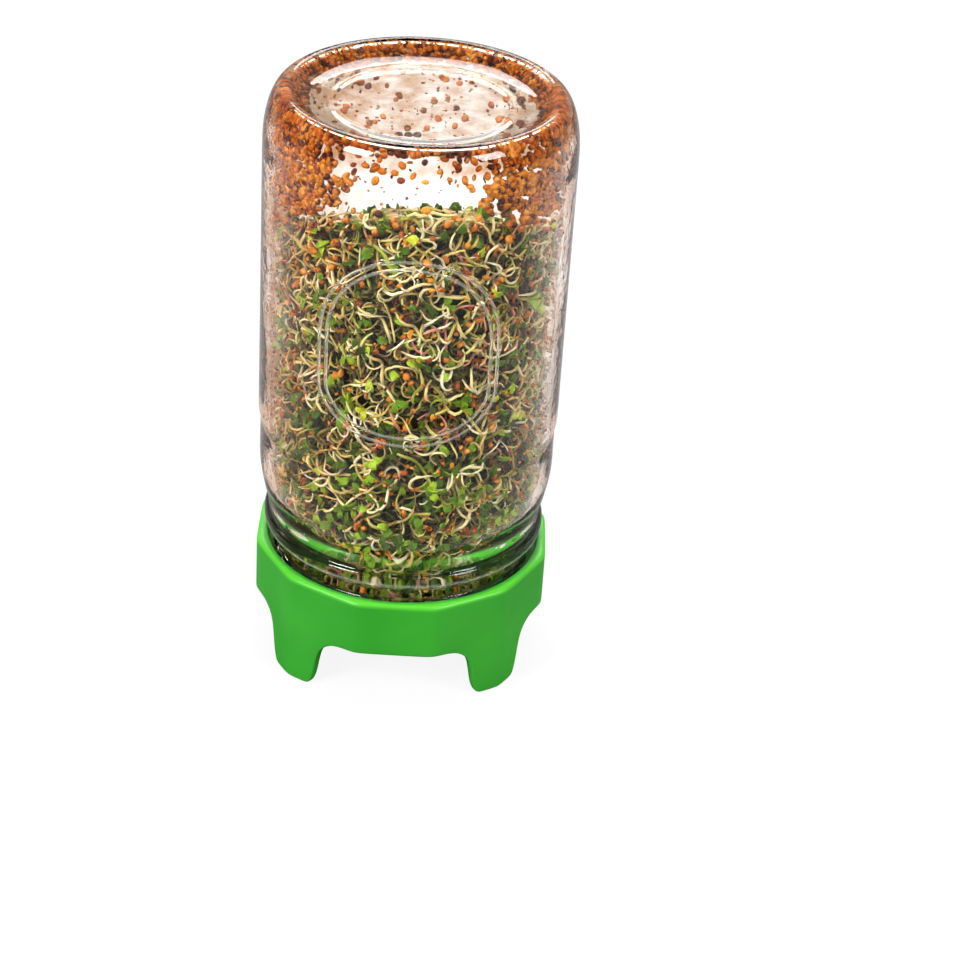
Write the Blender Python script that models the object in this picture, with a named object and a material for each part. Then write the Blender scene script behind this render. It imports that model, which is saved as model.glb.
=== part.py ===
# Sprouting jar: an upturned wide-mouth glass jar of mixed bean and seed sprouts,
# screwed into a footed plastic strainer lid with a wire screen.
# Blender 4.5, metres, +Z up. The origin is on the table, under the middle of the jar.

import math
import random

import bmesh
import bpy
from mathutils import Matrix, Vector

MM = 0.001
GAP = 0.3 * MM

# Sides of the turned pieces
ROUND_SIDES = 32
BAND_SIDES = 72

# Heights above the table
JAR_TOP = 196.1 * MM
LID_RIM = 38.8 * MM
ARCH_TOP = 19.3 * MM
FLOOR_UNDER = 20.0 * MM
FLOOR_TOP = 21.3 * MM
RING_TOP = 22.7 * MM
JAR_MOUTH = RING_TOP + GAP

# Radii
BODY_R = 49.0 * MM
BODY_INNER_R = 46.0 * MM
BASE_CURVE = 19.1 * MM
WAIST_TOP = 63.5 * MM
NECK_INNER_R = 38.4 * MM
LID_SIDES = 12
LID_FLAT_R = 48.1 * MM
LID_CORNER_R = 49.5 * MM
LID_BORE_R = 45.0 * MM
FLOOR_HOLE_R = 40.2 * MM
FOOT_WALL = 2.9 * MM

# Screw thread, shared by the jar's neck and the lid's bore
THREAD_PITCH = 6.35 * MM
THREAD_HALF_WIDTH = 1.7 * MM
THREAD_FROM = 24.6 * MM
THREAD_TO = 37.2 * MM
JAR_ROOT_R = 41.5 * MM
JAR_THREAD = 1.6 * MM
LID_THREAD = 2.6 * MM
THREAD_ROWS = 8

# Half a foot's width, in degrees round the lid, against the height of the wall's lower edge
FOOT_OUTLINE = [
    (8.0, 0.0), (9.8, 0.4), (11.2, 3.2), (12.4, 9.0), (13.6, 13.2),
    (16.0, 16.2), (19.5, 18.3), (24.0, 19.1), (45.0, 19.3),
]
FOOT_AZIMUTHS = (45.0, 135.0, 225.0, 315.0)

# Wire screen
SCREEN_R = 38.9 * MM
SCREEN_UNDER = 20.2 * MM
SCREEN_THICK = 0.9 * MM
SCREEN_PITCH = 7.8 * MM
SCREEN_HOLE = 6.4 * MM
SCREEN_HOLES_TO = 36.6 * MM

# Ring that holds the screen
RING_LIP_INNER = 37.9 * MM
RING_LIP_UNDER = 18.4 * MM
RING_LIP_EDGE = 18.9 * MM

# Sprouts. Heights of the heap, ranges and leaf sizes are in millimetres.
MASS_R = 42.4 * MM
MASS_NECK_R = 37.4 * MM
MASS_NECK_TOP = 46.0 * MM
MASS_SHOULDER_TOP = 62.0 * MM
MASS_FOOT = SCREEN_UNDER + SCREEN_THICK + GAP
HEAP_MIDDLE = 157.0
HEAP_SLOPE = 20.5
HEAP_TILT = 2.5
HEAP_MARGIN = 6.0 * MM
TOP_MARGIN = 9.0 * MM
TOP_EDGE = 3.0 * MM
CORE_DEPTH = 2.7 * MM
CORE_DIP = 1.6 * MM
CORE_VALLEY = 5.9 * MM
CORE_RIDGES = 36
CORE_SWAY = 0.42
CORE_ROWS = 24
CORE_WAVES = (17.0, 30.0)
CORE_EDGE = 5.0 * MM
CORE_ROUGH = 0.6
CROWN_RINGS = (0.85, 0.64, 0.36)
CROWN_DEPTHS = (2.8, 5.2)
CROWN_MIDDLE = 4.0 * MM
STEM_R = 1.1 * MM
STEM_DIVE = 6.5 * MM
STEM_STEP = 4.4 * MM
STEM_STEPS = (6, 9)
STEM_BENDS = (6.5, 12.0)
STEM_LAYERS = 0.5 * MM
STEMS = 25
TOP_STEMS = 6
LEAF_THICK = 0.8 * MM
LEAF_ROOT = 5.6 * MM
LEAF_PAIRS = 10
LEAF_LENGTHS = (4.9, 5.4)
LEAF_WIDTHS = (2.8, 3.4)
LEAF_SPREAD = 0.42
LEAF_APART = 0.6
SEEDS = 20
SEED_R = 2.1 * MM
GOLDEN_TURN = math.pi * (3.0 - math.sqrt(5.0))
DRAW_SEED = 11

# Seeds stuck to the glass
BAND_R = 43.8 * MM
BAND_SEED_R = 1.35 * MM
BAND_FILM = 0.3 * MM
BAND_SIDE_STEPS = 3
BAND_LOW = 176.0
BAND_KNEE = 179.5 * MM
BAND_TOP_LINE = [(43.4, -12.5), (41.7, -9.5), (39.4, -8.3)]

# Where the band's lower edge leaves its level: azimuth, half width in degrees and drop in millimetres
BAND_PATCHES = [(217.0, 22.0, 9.0), (322.0, 24.0, 9.0), (268.0, 16.0, -5.0)]


def clear_scene():
    for thing in list(bpy.data.objects):
        bpy.data.objects.remove(thing, do_unlink=True)


def material(name, colour, roughness, metallic=0.0, alpha=1.0):
    made = bpy.data.materials.new(name)
    made.use_nodes = True
    shader = made.node_tree.nodes["Principled BSDF"]
    shader.inputs["Base Color"].default_value = (*colour, 1.0)
    shader.inputs["Roughness"].default_value = roughness
    shader.inputs["Metallic"].default_value = metallic
    shader.inputs["Alpha"].default_value = alpha
    return made


def add_object(name, mesh_builder, finish):
    bmesh.ops.triangulate(mesh_builder, faces=mesh_builder.faces[:])
    bmesh.ops.recalc_face_normals(mesh_builder, faces=mesh_builder.faces[:])
    mesh = bpy.data.meshes.new(name)
    mesh_builder.to_mesh(mesh)
    mesh_builder.free()
    mesh.materials.append(finish)
    made = bpy.data.objects.new(name, mesh)
    bpy.context.scene.collection.objects.link(made)
    return made


def shade_round(made, angle=35.0):
    made.data.shade_smooth()
    made.data.set_sharp_from_angle(angle=math.radians(angle))


def even_angles(count):
    return [360.0 * i / count for i in range(count)]


# A solid swept round Z. section(degrees) gives its outline as (radius, height) pairs.
# A closed outline makes a ring; an open one starts and ends on the axis.
def swept_solid(name, angles, section, finish, closed):
    builder = bmesh.new()
    columns = []
    poles = None
    for degrees in angles:
        turn = math.radians(degrees)
        outline = section(degrees)
        if not closed:
            if poles is None:
                poles = [builder.verts.new((0.0, 0.0, outline[end][1])) for end in (0, -1)]
            outline = outline[1:-1]
        columns.append([
            builder.verts.new((r * math.cos(turn), r * math.sin(turn), z)) for r, z in outline
        ])
    for i, here in enumerate(columns):
        there = columns[(i + 1) % len(columns)]
        last = len(here) if closed else len(here) - 1
        for j in range(last):
            k = (j + 1) % len(here)
            builder.faces.new((here[j], here[k], there[k], there[j]))
        if not closed:
            builder.faces.new((poles[0], here[0], there[0]))
            builder.faces.new((poles[1], there[-1], here[-1]))
    made = add_object(name, builder, finish)
    shade_round(made)
    return made


# How far a thread stands out at this place, from 0 to 1. It runs out at both ends.
def thread_height(degrees, z, phase):
    turns = (z - THREAD_FROM) / THREAD_PITCH - degrees / 360.0 - phase
    off = abs(turns - round(turns)) * THREAD_PITCH
    if off > THREAD_HALF_WIDTH:
        return 0.0
    ends = min(z - THREAD_FROM, THREAD_TO - z) / (1.2 * MM)
    crest = 0.5 + 0.5 * math.cos(math.pi * off / THREAD_HALF_WIDTH)
    return crest * max(0.0, min(1.0, ends))


def thread_levels():
    step = (THREAD_TO - THREAD_FROM) / (THREAD_ROWS - 1)
    return [THREAD_FROM + step * i for i in range(THREAD_ROWS)]


# Outline points given as a radius and a height from the jar's top or its mouth, in millimetres.
def from_level(level, points):
    return [(r * MM, level + z * MM) for r, z in points]


# The jar, mouth down: its outside from the middle of the base to the mouth, then its inside.
def jar_section(degrees):
    base_outside = [(0.0, -4.5), (24.0, -4.6), (38.0, -4.4), (40.2, -3.1), (41.2, -0.5)]
    heel = [(41.8, 0.0), (42.7, 0.0), (44.6, -1.2), (46.5, -4.0), (48.0, -8.5), (48.8, -13.1)]
    waist = [(48.2, 58.5), (48.1, 47.0), (47.4, 39.5), (46.3, 34.0), (45.0, 29.0), (44.5, 26.4)]
    bead = [(45.9, 24.8), (46.3, 23.0), (45.9, 21.4), (43.4, 19.6), (43.2, 15.6)]
    side = [(BODY_R, JAR_TOP - BASE_CURVE), (BODY_R, JAR_MOUTH + WAIST_TOP)]
    outside = from_level(JAR_TOP, base_outside + heel) + side + from_level(JAR_MOUTH, waist + bead)
    neck = [
        (JAR_ROOT_R + JAR_THREAD * thread_height(degrees, z, 0.0), z)
        for z in reversed(thread_levels())
    ]
    mouth = from_level(JAR_MOUTH, [(41.2, 0.3), (40.8, 0.0), (39.0, 0.0)])
    throat = [(NECK_INNER_R, JAR_MOUTH + 0.8 * MM), (NECK_INNER_R, JAR_MOUTH + 22.0 * MM)]
    inner_waist = [(39.8, 26.5), (42.4, 31.5), (44.4, 37.5), (45.3, 45.0), (45.5, 57.0)]
    inner_side = [(BODY_INNER_R, JAR_MOUTH + WAIST_TOP), (BODY_INNER_R, JAR_TOP - BASE_CURVE)]
    inner_base = [(45.6, -13.1), (44.3, -8.9), (42.0, -6.6), (39.0, -6.0), (36.0, -7.2), (0.0, -7.8)]
    inside = from_level(JAR_MOUTH, inner_waist) + inner_side + from_level(JAR_TOP, inner_base)
    return outside + neck + mouth + throat + inside


# Outer radius of the twelve-sided wall, its corners a little rounded.
def lid_outer_radius(degrees):
    step = 360.0 / LID_SIDES
    from_flat = min(degrees % step, step - degrees % step)
    return min(LID_FLAT_R / math.cos(math.radians(from_flat)), LID_CORNER_R)


def foot_offset(degrees):
    return min(abs((degrees - foot + 180.0) % 360.0 - 180.0) for foot in FOOT_AZIMUTHS)


# Height of the wall's lower edge: 0 under a foot, the arch between two feet.
def lower_edge(degrees):
    offset = foot_offset(degrees)
    if offset <= FOOT_OUTLINE[0][0]:
        return 0.0
    for (a, low), (b, high) in zip(FOOT_OUTLINE, FOOT_OUTLINE[1:]):
        if offset <= b:
            return (low + (high - low) * (offset - a) / (b - a)) * MM
    return ARCH_TOP


def lid_angles():
    offsets = [0.0] + [a for a, z in FOOT_OUTLINE[:-1]] + [30.0]
    found = set()
    for foot in FOOT_AZIMUTHS:
        for offset in offsets:
            found.add(round((foot + offset) % 360.0, 3))
            found.add(round((foot - offset) % 360.0, 3))
        found.add(round((foot + 45.0) % 360.0, 3))
    return sorted(found)


def lid_section(degrees):
    outer = lid_outer_radius(degrees)
    low = lower_edge(degrees)
    foot_inner = outer - FOOT_WALL
    wall = [
        (outer - 1.1 * MM, LID_RIM), (outer - 0.3 * MM, LID_RIM - 0.5 * MM),
        (outer, LID_RIM - 1.6 * MM), (outer, low + 1.0 * MM),
        (outer - 0.6 * MM, low), (foot_inner + 0.4 * MM, low),
        (foot_inner, low + 0.4 * MM), (foot_inner - 0.3 * MM, FLOOR_UNDER),
    ]
    floor = [
        (FLOOR_HOLE_R, FLOOR_UNDER), (FLOOR_HOLE_R, FLOOR_TOP),
        (LID_BORE_R - 0.8 * MM, FLOOR_TOP), (LID_BORE_R, THREAD_FROM - 1.4 * MM),
    ]
    bore = [(LID_BORE_R - LID_THREAD * thread_height(degrees, z, 0.5), z) for z in thread_levels()]
    rim = [(LID_BORE_R + 0.1 * MM, LID_RIM - 0.5 * MM), (LID_BORE_R + 0.7 * MM, LID_RIM)]
    return wall + floor + bore + rim


# The ring that the screen is moulded into: a flange on the lid's floor and a lip through it.
def ring_section(degrees):
    slot_low = SCREEN_UNDER - GAP
    slot_high = SCREEN_UNDER + SCREEN_THICK + GAP
    lip_outer = FLOOR_HOLE_R - GAP
    flange_outer = LID_BORE_R - 1.2 * MM
    lip_inner = RING_LIP_INNER
    slot_outer = SCREEN_R + GAP
    return [
        (lip_inner, slot_high), (lip_inner, RING_TOP - 0.3 * MM), (lip_inner + 0.3 * MM, RING_TOP),
        (flange_outer, RING_TOP), (flange_outer, FLOOR_TOP + GAP), (lip_outer, FLOOR_TOP + GAP),
        (lip_outer, RING_LIP_EDGE), (lip_outer - 0.5 * MM, RING_LIP_UNDER),
        (lip_inner + 0.4 * MM, RING_LIP_UNDER), (lip_inner, RING_LIP_EDGE),
        (lip_inner, slot_low), (slot_outer, slot_low), (slot_outer, slot_high),
    ]


# The screen: a disc of crossing bars, coarser than the real wire, with square holes.
def screen_disc(finish):
    bpy.ops.mesh.primitive_cylinder_add(
        vertices=ROUND_SIDES, radius=SCREEN_R, depth=SCREEN_THICK,
        location=(0.0, 0.0, SCREEN_UNDER + SCREEN_THICK / 2.0))
    disc = bpy.context.active_object
    disc.name = "mesh_screen"
    disc.data.name = "mesh_screen"
    disc.data.materials.append(finish)
    builder = bmesh.new()
    reach = int(SCREEN_R / SCREEN_PITCH) + 1
    corner = SCREEN_HOLE / math.sqrt(2.0)
    for i in range(-reach, reach + 1):
        for j in range(-reach, reach + 1):
            x, y = i * SCREEN_PITCH, j * SCREEN_PITCH
            if math.hypot(abs(x) + SCREEN_HOLE / 2.0, abs(y) + SCREEN_HOLE / 2.0) > SCREEN_HOLES_TO:
                continue
            middle = Vector((x, y, SCREEN_UNDER + SCREEN_THICK / 2.0))
            place = Matrix.Translation(middle) @ Matrix.Rotation(math.radians(45.0), 4, "Z")
            bmesh.ops.create_cone(
                builder, cap_ends=True, segments=4, radius1=corner, radius2=corner,
                depth=3.0 * SCREEN_THICK, matrix=place)
    mesh = bpy.data.meshes.new("screen_holes")
    builder.to_mesh(mesh)
    builder.free()
    holes = bpy.data.objects.new("screen_holes", mesh)
    bpy.context.scene.collection.objects.link(holes)
    cut = disc.modifiers.new("holes", "BOOLEAN")
    cut.operation = "DIFFERENCE"
    cut.object = holes
    apply_modifiers(disc)
    bpy.data.objects.remove(holes, do_unlink=True)
    return disc


def apply_modifiers(made):
    bpy.context.view_layer.update()
    graph = bpy.context.evaluated_depsgraph_get()
    mesh = bpy.data.meshes.new_from_object(made.evaluated_get(graph), depsgraph=graph)
    made.modifiers.clear()
    made.data = mesh


# Radius of the sprouts at a height: the jar's throat, its shoulder, then its body.
def mass_radius(z):
    share = (z - MASS_NECK_TOP) / (MASS_SHOULDER_TOP - MASS_NECK_TOP)
    return MASS_NECK_R + (MASS_R - MASS_NECK_R) * max(0.0, min(1.0, share))


# Height of the heap's top: high at the front (-Y), falling towards the back and a little to the left.
def heap_top(x, y):
    across = x / MASS_R
    return (HEAP_MIDDLE - HEAP_SLOPE * y / MASS_R + HEAP_TILT * (across - abs(across))) * MM


# The core that the loose sprouts stand out of: a packed column whose outer stems show as winding
# ridges side by side. A ridge sways round the column as it climbs, and dips under and comes back.
def core_mesh(draw):
    winds = [(draw.uniform(0.0, math.tau), draw.uniform(*CORE_WAVES) * MM) for i in range(CORE_RIDGES)]

    def ridge_turn(j, z):
        phase, wave = winds[j % CORE_RIDGES]
        return (j + CORE_SWAY * math.sin(phase + math.tau * z / wave)) * math.tau / CORE_RIDGES

    def core_depth(j, valley, z):
        phase, wave = winds[j]
        if valley:
            return CORE_VALLEY
        return CORE_DEPTH + CORE_DIP * (0.5 + 0.5 * math.sin(2.3 * phase + 0.7 * math.tau * z / wave))

    builder = bmesh.new()
    columns = []
    for i in range(2 * CORE_RIDGES):
        j, valley = divmod(i, 2)
        middle = (j + 0.5 * valley) * math.tau / CORE_RIDGES
        edge = heap_top(MASS_R * math.cos(middle), MASS_R * math.sin(middle)) - CORE_EDGE
        column = []
        for k in range(CORE_ROWS):
            z = MASS_FOOT + (edge - MASS_FOOT) * k / (CORE_ROWS - 1)
            turn = 0.5 * (ridge_turn(j, z) + ridge_turn(j + 1, z)) if valley else ridge_turn(j, z)
            r = mass_radius(z) - core_depth(j, valley, z) - draw.uniform(0.0, CORE_ROUGH) * MM
            column.append(builder.verts.new((r * math.cos(turn), r * math.sin(turn), z)))
        for ring in CROWN_RINGS:
            r = ring * (MASS_R - CORE_DEPTH)
            x, y = r * math.cos(middle), r * math.sin(middle)
            column.append(builder.verts.new((x, y, heap_top(x, y) - draw.uniform(*CROWN_DEPTHS) * MM)))
        columns.append(column)
    foot = builder.verts.new((0.0, 0.0, MASS_FOOT))
    crown = builder.verts.new((0.0, 0.0, heap_top(0.0, 0.0) - CROWN_MIDDLE))
    for i, here in enumerate(columns):
        there = columns[(i + 1) % len(columns)]
        for k in range(len(here) - 1):
            builder.faces.new((here[k], there[k], there[k + 1], here[k + 1]))
        builder.faces.new((foot, there[0], here[0]))
        builder.faces.new((crown, here[-1], there[-1]))
    return builder


# A three-sided stem through the given points.
def stem_mesh(points, radius):
    builder = bmesh.new()
    rings = []
    for i, point in enumerate(points):
        before = points[max(i - 1, 0)]
        after = points[min(i + 1, len(points) - 1)]
        along = (after - before).normalized()
        side = along.cross(Vector((0.31, 0.22, 0.92))).normalized()
        up = along.cross(side)
        ring = []
        for k in range(3):
            turn = 2.0 * math.pi * k / 3.0
            ring.append(builder.verts.new(point + (side * math.cos(turn) + up * math.sin(turn)) * radius))
        rings.append(ring)
    for here, there in zip(rings, rings[1:]):
        for k in range(3):
            m = (k + 1) % 3
            builder.faces.new((here[k], here[m], there[m], there[k]))
    builder.faces.new(rings[0])
    builder.faces.new(rings[-1])
    return builder


# A seed leaf: a rounded blade with a notched tip, lying in the plane of along and across.
def leaf_mesh(root, along, across, length, width):
    normal = along.cross(across).normalized()
    outline = [(0.0, 0.2), (0.55, 0.5), (0.95, 0.3), (0.95, -0.3), (0.55, -0.5), (0.0, -0.2)]
    builder = bmesh.new()
    faces = []
    for side in (-0.5, 0.5):
        ring = []
        for a, b in outline:
            place = root + along * (a * length) + across * (b * width) + normal * (side * LEAF_THICK)
            ring.append(builder.verts.new(place))
        faces.append(ring)
    count = len(outline)
    for k in range(count):
        m = (k + 1) % count
        builder.faces.new((faces[0][k], faces[0][m], faces[1][m], faces[1][k]))
    builder.faces.new(faces[0])
    builder.faces.new(faces[1])
    return builder


# Joins a base mesh and its repeats by one Boolean union, and keeps the one body that they form.
def fuse(name, base_builder, repeats, finish, solver):
    joined = add_object(name, base_builder, finish)
    group = bpy.data.collections.new(name + "_repeats")
    bpy.context.scene.collection.children.link(group)
    for i, builder in enumerate(repeats):
        bmesh.ops.triangulate(builder, faces=builder.faces[:])
        bmesh.ops.recalc_face_normals(builder, faces=builder.faces[:])
        mesh = bpy.data.meshes.new(f"{name}_repeat_{i}")
        builder.to_mesh(mesh)
        builder.free()
        group.objects.link(bpy.data.objects.new(mesh.name, mesh))
    union = joined.modifiers.new("union", "BOOLEAN")
    union.operation = "UNION"
    union.operand_type = "COLLECTION"
    union.collection = group
    union.solver = solver
    apply_modifiers(joined)
    for thing in list(group.objects):
        bpy.data.objects.remove(thing, do_unlink=True)
    bpy.data.collections.remove(group)
    keep_largest_body(joined)
    joined.data.materials.clear()
    joined.data.materials.append(finish)
    return joined


# Drops loose scraps and the skins of sealed hollows: everything but the largest connected skin.
def keep_largest_body(made):
    builder = bmesh.new()
    builder.from_mesh(made.data)
    bmesh.ops.triangulate(builder, faces=builder.faces[:])
    left = set(builder.verts)
    skins = []
    while left:
        skin = set()
        edge = [left.pop()]
        while edge:
            vert = edge.pop()
            skin.add(vert)
            for link in vert.link_edges:
                other = link.other_vert(vert)
                if other in left:
                    left.remove(other)
                    edge.append(other)
        skins.append(skin)
    skins.sort(key=len)
    for skin in skins[:-1]:
        bmesh.ops.delete(builder, geom=list(skin), context="VERTS")
    builder.to_mesh(made.data)
    builder.free()


# A place on the heap's side: a length round it, a height and a depth under its skin.
def on_side(u, v, depth):
    r = mass_radius(v) - depth
    return Vector((r * math.cos(u / MASS_R), r * math.sin(u / MASS_R), v))


# A place on the heap's slanting top.
def on_top(u, v, depth):
    return Vector((u, v, heap_top(u, v) - depth))


# Spreads repeats evenly over the heap's side: a turn of the golden angle for each, and a height.
def side_place(i, count, draw):
    turn = i * GOLDEN_TURN + draw.uniform(-0.12, 0.12)
    low = MASS_FOOT + HEAP_MARGIN
    top = heap_top(math.cos(turn) * MASS_R, math.sin(turn) * MASS_R) - HEAP_MARGIN
    return turn * MASS_R, low + (top - low) * (i + draw.uniform(0.2, 0.8)) / count


# The same over its top.
def top_place(i, count, draw):
    turn = i * GOLDEN_TURN + draw.uniform(-0.2, 0.2)
    r = (MASS_R - TOP_MARGIN) * math.sqrt((i + 0.5) / count)
    return r * math.cos(turn), r * math.sin(turn)


# A stem that comes out of the heap, winds over its skin and goes back in. Its bend may turn round.
def stem_points(skin, u, v, draw):
    steps = draw.randint(*STEM_STEPS)
    layer = STEM_R + draw.random() * STEM_LAYERS
    bend = draw.choice((-1.0, 1.0)) / (draw.uniform(*STEM_BENDS) * MM)
    swing = bend * draw.uniform(-2.4, 0.4) / steps
    heading = draw.uniform(0.0, math.tau)
    points = []
    for k in range(steps + 1):
        if skin is on_side:
            top = heap_top(MASS_R * math.cos(u / MASS_R), MASS_R * math.sin(u / MASS_R))
            v = min(max(v, MASS_FOOT + 2.0 * STEM_R), top - STEM_R)
        elif math.hypot(u, v) > MASS_R - TOP_EDGE:
            shrink = (MASS_R - TOP_EDGE) / math.hypot(u, v)
            u, v = u * shrink, v * shrink
        points.append(skin(u, v, layer + (STEM_DIVE if k in (0, steps) else 0.0)))
        u += STEM_STEP * math.cos(heading)
        v += STEM_STEP * math.sin(heading)
        heading += bend * STEM_STEP
        bend += swing
    return points


# A seed half sunk in the heap.
def seed_mesh(place):
    builder = bmesh.new()
    axes = [(1, 0, 0), (0, 1, 0), (-1, 0, 0), (0, -1, 0), (0, 0, 1), (0, 0, -1)]
    tips = [builder.verts.new(place + Vector(axis) * SEED_R) for axis in axes]
    for k in range(4):
        m = (k + 1) % 4
        builder.faces.new((tips[k], tips[m], tips[4]))
        builder.faces.new((tips[m], tips[k], tips[5]))
    return builder


# A pair of seed leaves whose roots are sunk in the core, spread like an open book.
def leaf_pair(i, draw):
    u, z = side_place(i + 0.5, LEAF_PAIRS, draw)
    root = on_side(u, z, LEAF_ROOT)
    out = Vector((root.x, root.y, 0.0)).normalized()
    roll = Matrix.Rotation(draw.uniform(0.0, math.tau), 3, out)
    across = roll @ Vector((-out.y, out.x, 0.0))
    normal = out.cross(across).normalized()
    length = draw.uniform(*LEAF_LENGTHS) * MM
    width = draw.uniform(*LEAF_WIDTHS) * MM
    pair = []
    for side in (-1.0, 1.0):
        along = (out + normal * (LEAF_SPREAD * side)).normalized()
        spread = along.cross(across).normalized() * (LEAF_APART * side * MM)
        pair.append(leaf_mesh(root + spread, along, across, length, width))
    return pair


def sprout_mass(finish):
    draw = random.Random(DRAW_SEED)
    base = core_mesh(draw)
    repeats = []
    for i in range(STEMS):
        repeats.append(stem_mesh(stem_points(on_side, *side_place(i, STEMS, draw), draw), STEM_R))
    for i in range(TOP_STEMS):
        repeats.append(stem_mesh(stem_points(on_top, *top_place(i, TOP_STEMS, draw), draw), STEM_R))
    for i in range(LEAF_PAIRS):
        repeats += leaf_pair(i, draw)
    for i in range(SEEDS):
        repeats.append(seed_mesh(on_side(*side_place(i + 0.25, SEEDS, draw), CORE_DEPTH)))
    return fuse("sprout_mass", base, repeats, finish, "MANIFOLD")


# How strongly a place round the jar belongs to a patch centred at an azimuth.
def patch(degrees, centre, half_width):
    off = abs((degrees - centre + 180.0) % 360.0 - 180.0)
    return math.exp(-(off / half_width) ** 2)


# Lower edge of the band of seeds on the glass: lowest at the front left and right, highest between.
def band_low(degrees):
    drops = [drop * patch(degrees, centre, half_width) for centre, half_width, drop in BAND_PATCHES]
    return (BAND_LOW - sum(drops)) * MM


# Middle line of the band, from its lower edge up into the rounded corner of the jar's base.
def band_line(degrees):
    low = band_low(degrees)
    side = [(BAND_R, low + (BAND_KNEE - low) * i / BAND_SIDE_STEPS) for i in range(BAND_SIDE_STEPS + 1)]
    return side + from_level(JAR_TOP, BAND_TOP_LINE)


# The band's outline: it is thick where a seed lies and a thin film of water between seeds.
def band_section(degrees):
    column = round(degrees * BAND_SIDES / 360.0)
    line = band_line(degrees)
    last = len(line) - 1
    outer, inner = [], []
    for i, (r, z) in enumerate(line):
        seed = BAND_SEED_R if (column + i) % 2 and 0 < i < last else BAND_FILM
        seed *= 1.0 + 0.12 * math.sin(2.1 * column + 1.7 * i)
        lean = max(0.0, (i - BAND_SIDE_STEPS) / (last - BAND_SIDE_STEPS))
        outer.append((r + seed * (1.0 - 0.3 * lean), z + 0.7 * lean * seed))
        inner.append((r - seed, z - 0.7 * lean * seed))
    return outer + inner[::-1]


def build():
    clear_scene()
    glass = material("clear_glass", (0.93, 0.94, 0.92), 0.04, alpha=0.3)
    green = material("green_plastic", (0.07, 0.46, 0.03), 0.38)
    steel = material("steel_wire", (0.62, 0.60, 0.57), 0.32, metallic=1.0)
    stems = material("sprouts", (0.52, 0.50, 0.22), 0.55)
    seeds = material("wet_seeds", (0.50, 0.17, 0.04), 0.4)
    swept_solid("glass_jar", even_angles(ROUND_SIDES), jar_section, glass, False)
    swept_solid("strainer_lid", lid_angles(), lid_section, green, True)
    swept_solid("mesh_ring", even_angles(ROUND_SIDES), ring_section, green, True)
    screen_disc(steel)
    sprout_mass(stems)
    swept_solid("clinging_seeds", even_angles(BAND_SIDES), band_section, seeds, True)


build()
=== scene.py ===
import math
import bmesh
import bpy
import numpy as np
from mathutils import Matrix, Vector, noise
from numpy.random import default_rng


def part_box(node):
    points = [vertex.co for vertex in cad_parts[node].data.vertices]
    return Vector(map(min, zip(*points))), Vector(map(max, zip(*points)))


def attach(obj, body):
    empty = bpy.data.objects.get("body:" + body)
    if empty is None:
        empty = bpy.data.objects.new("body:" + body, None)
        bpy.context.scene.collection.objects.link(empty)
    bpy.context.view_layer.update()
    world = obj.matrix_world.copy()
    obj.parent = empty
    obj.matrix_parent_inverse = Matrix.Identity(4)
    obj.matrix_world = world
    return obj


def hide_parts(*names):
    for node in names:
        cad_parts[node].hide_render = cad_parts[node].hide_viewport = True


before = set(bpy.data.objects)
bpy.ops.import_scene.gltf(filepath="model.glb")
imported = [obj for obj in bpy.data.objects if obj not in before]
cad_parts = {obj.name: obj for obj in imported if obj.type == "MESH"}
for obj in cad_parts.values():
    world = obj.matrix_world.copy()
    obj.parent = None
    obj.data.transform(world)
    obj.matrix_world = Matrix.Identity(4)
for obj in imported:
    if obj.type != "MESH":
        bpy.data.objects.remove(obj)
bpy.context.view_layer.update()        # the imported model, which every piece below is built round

mm = 0.001
tau = math.tau

# Sizes read from the frame
jarLow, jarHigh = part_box("glass_jar")
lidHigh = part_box("strainer_lid")[1]
screenLow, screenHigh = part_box("mesh_screen")
ringLow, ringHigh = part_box("mesh_ring")
jarMouth, jarTop, jarRadius = jarLow.z, jarHigh.z, jarHigh.x
wallRadius = jarRadius - 0.3 * mm      # so that the raised lines stay within the jar's width
lidRim, lidFlat = lidHigh.z, lidHigh.x
screenTop = screenHigh.z

heap = {
    "radius": 43.9 * mm, "neck": 37.4 * mm, "neckTop": 46.0 * mm, "shoulderTop": 66.0 * mm,
    "foot": screenTop + 0.5 * mm, "top": 153.7 * mm, "slope": 20.5 * mm, "side": 2.5 * mm,
    "seed": 7,
}


# Wraps one output socket, so that values are written as plain sums and products
class Wire:
    def __init__(self, nodes, socket):
        self.nodes = nodes
        self.socket = socket

    def maths(self, operation, first, second=0.0, clamp=False):
        return self.nodes.maths(operation, first, second, clamp)

    def __add__(self, other):
        return self.maths("ADD", self, other)

    def __radd__(self, other):
        return self.maths("ADD", other, self)

    def __sub__(self, other):
        return self.maths("SUBTRACT", self, other)

    def __rsub__(self, other):
        return self.maths("SUBTRACT", other, self)

    def __mul__(self, other):
        return self.maths("MULTIPLY", self, other)

    def __rmul__(self, other):
        return self.maths("MULTIPLY", other, self)

    def __truediv__(self, other):
        return self.maths("DIVIDE", self, other)

    def clipped(self):
        return self.maths("ADD", self, 0.0, clamp=True)

    # From 0 at the first number to 1 at the second, which may be the smaller one
    def rising(self, start, end):
        return self.maths("DIVIDE", self - start, end - start, clamp=True)


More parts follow.
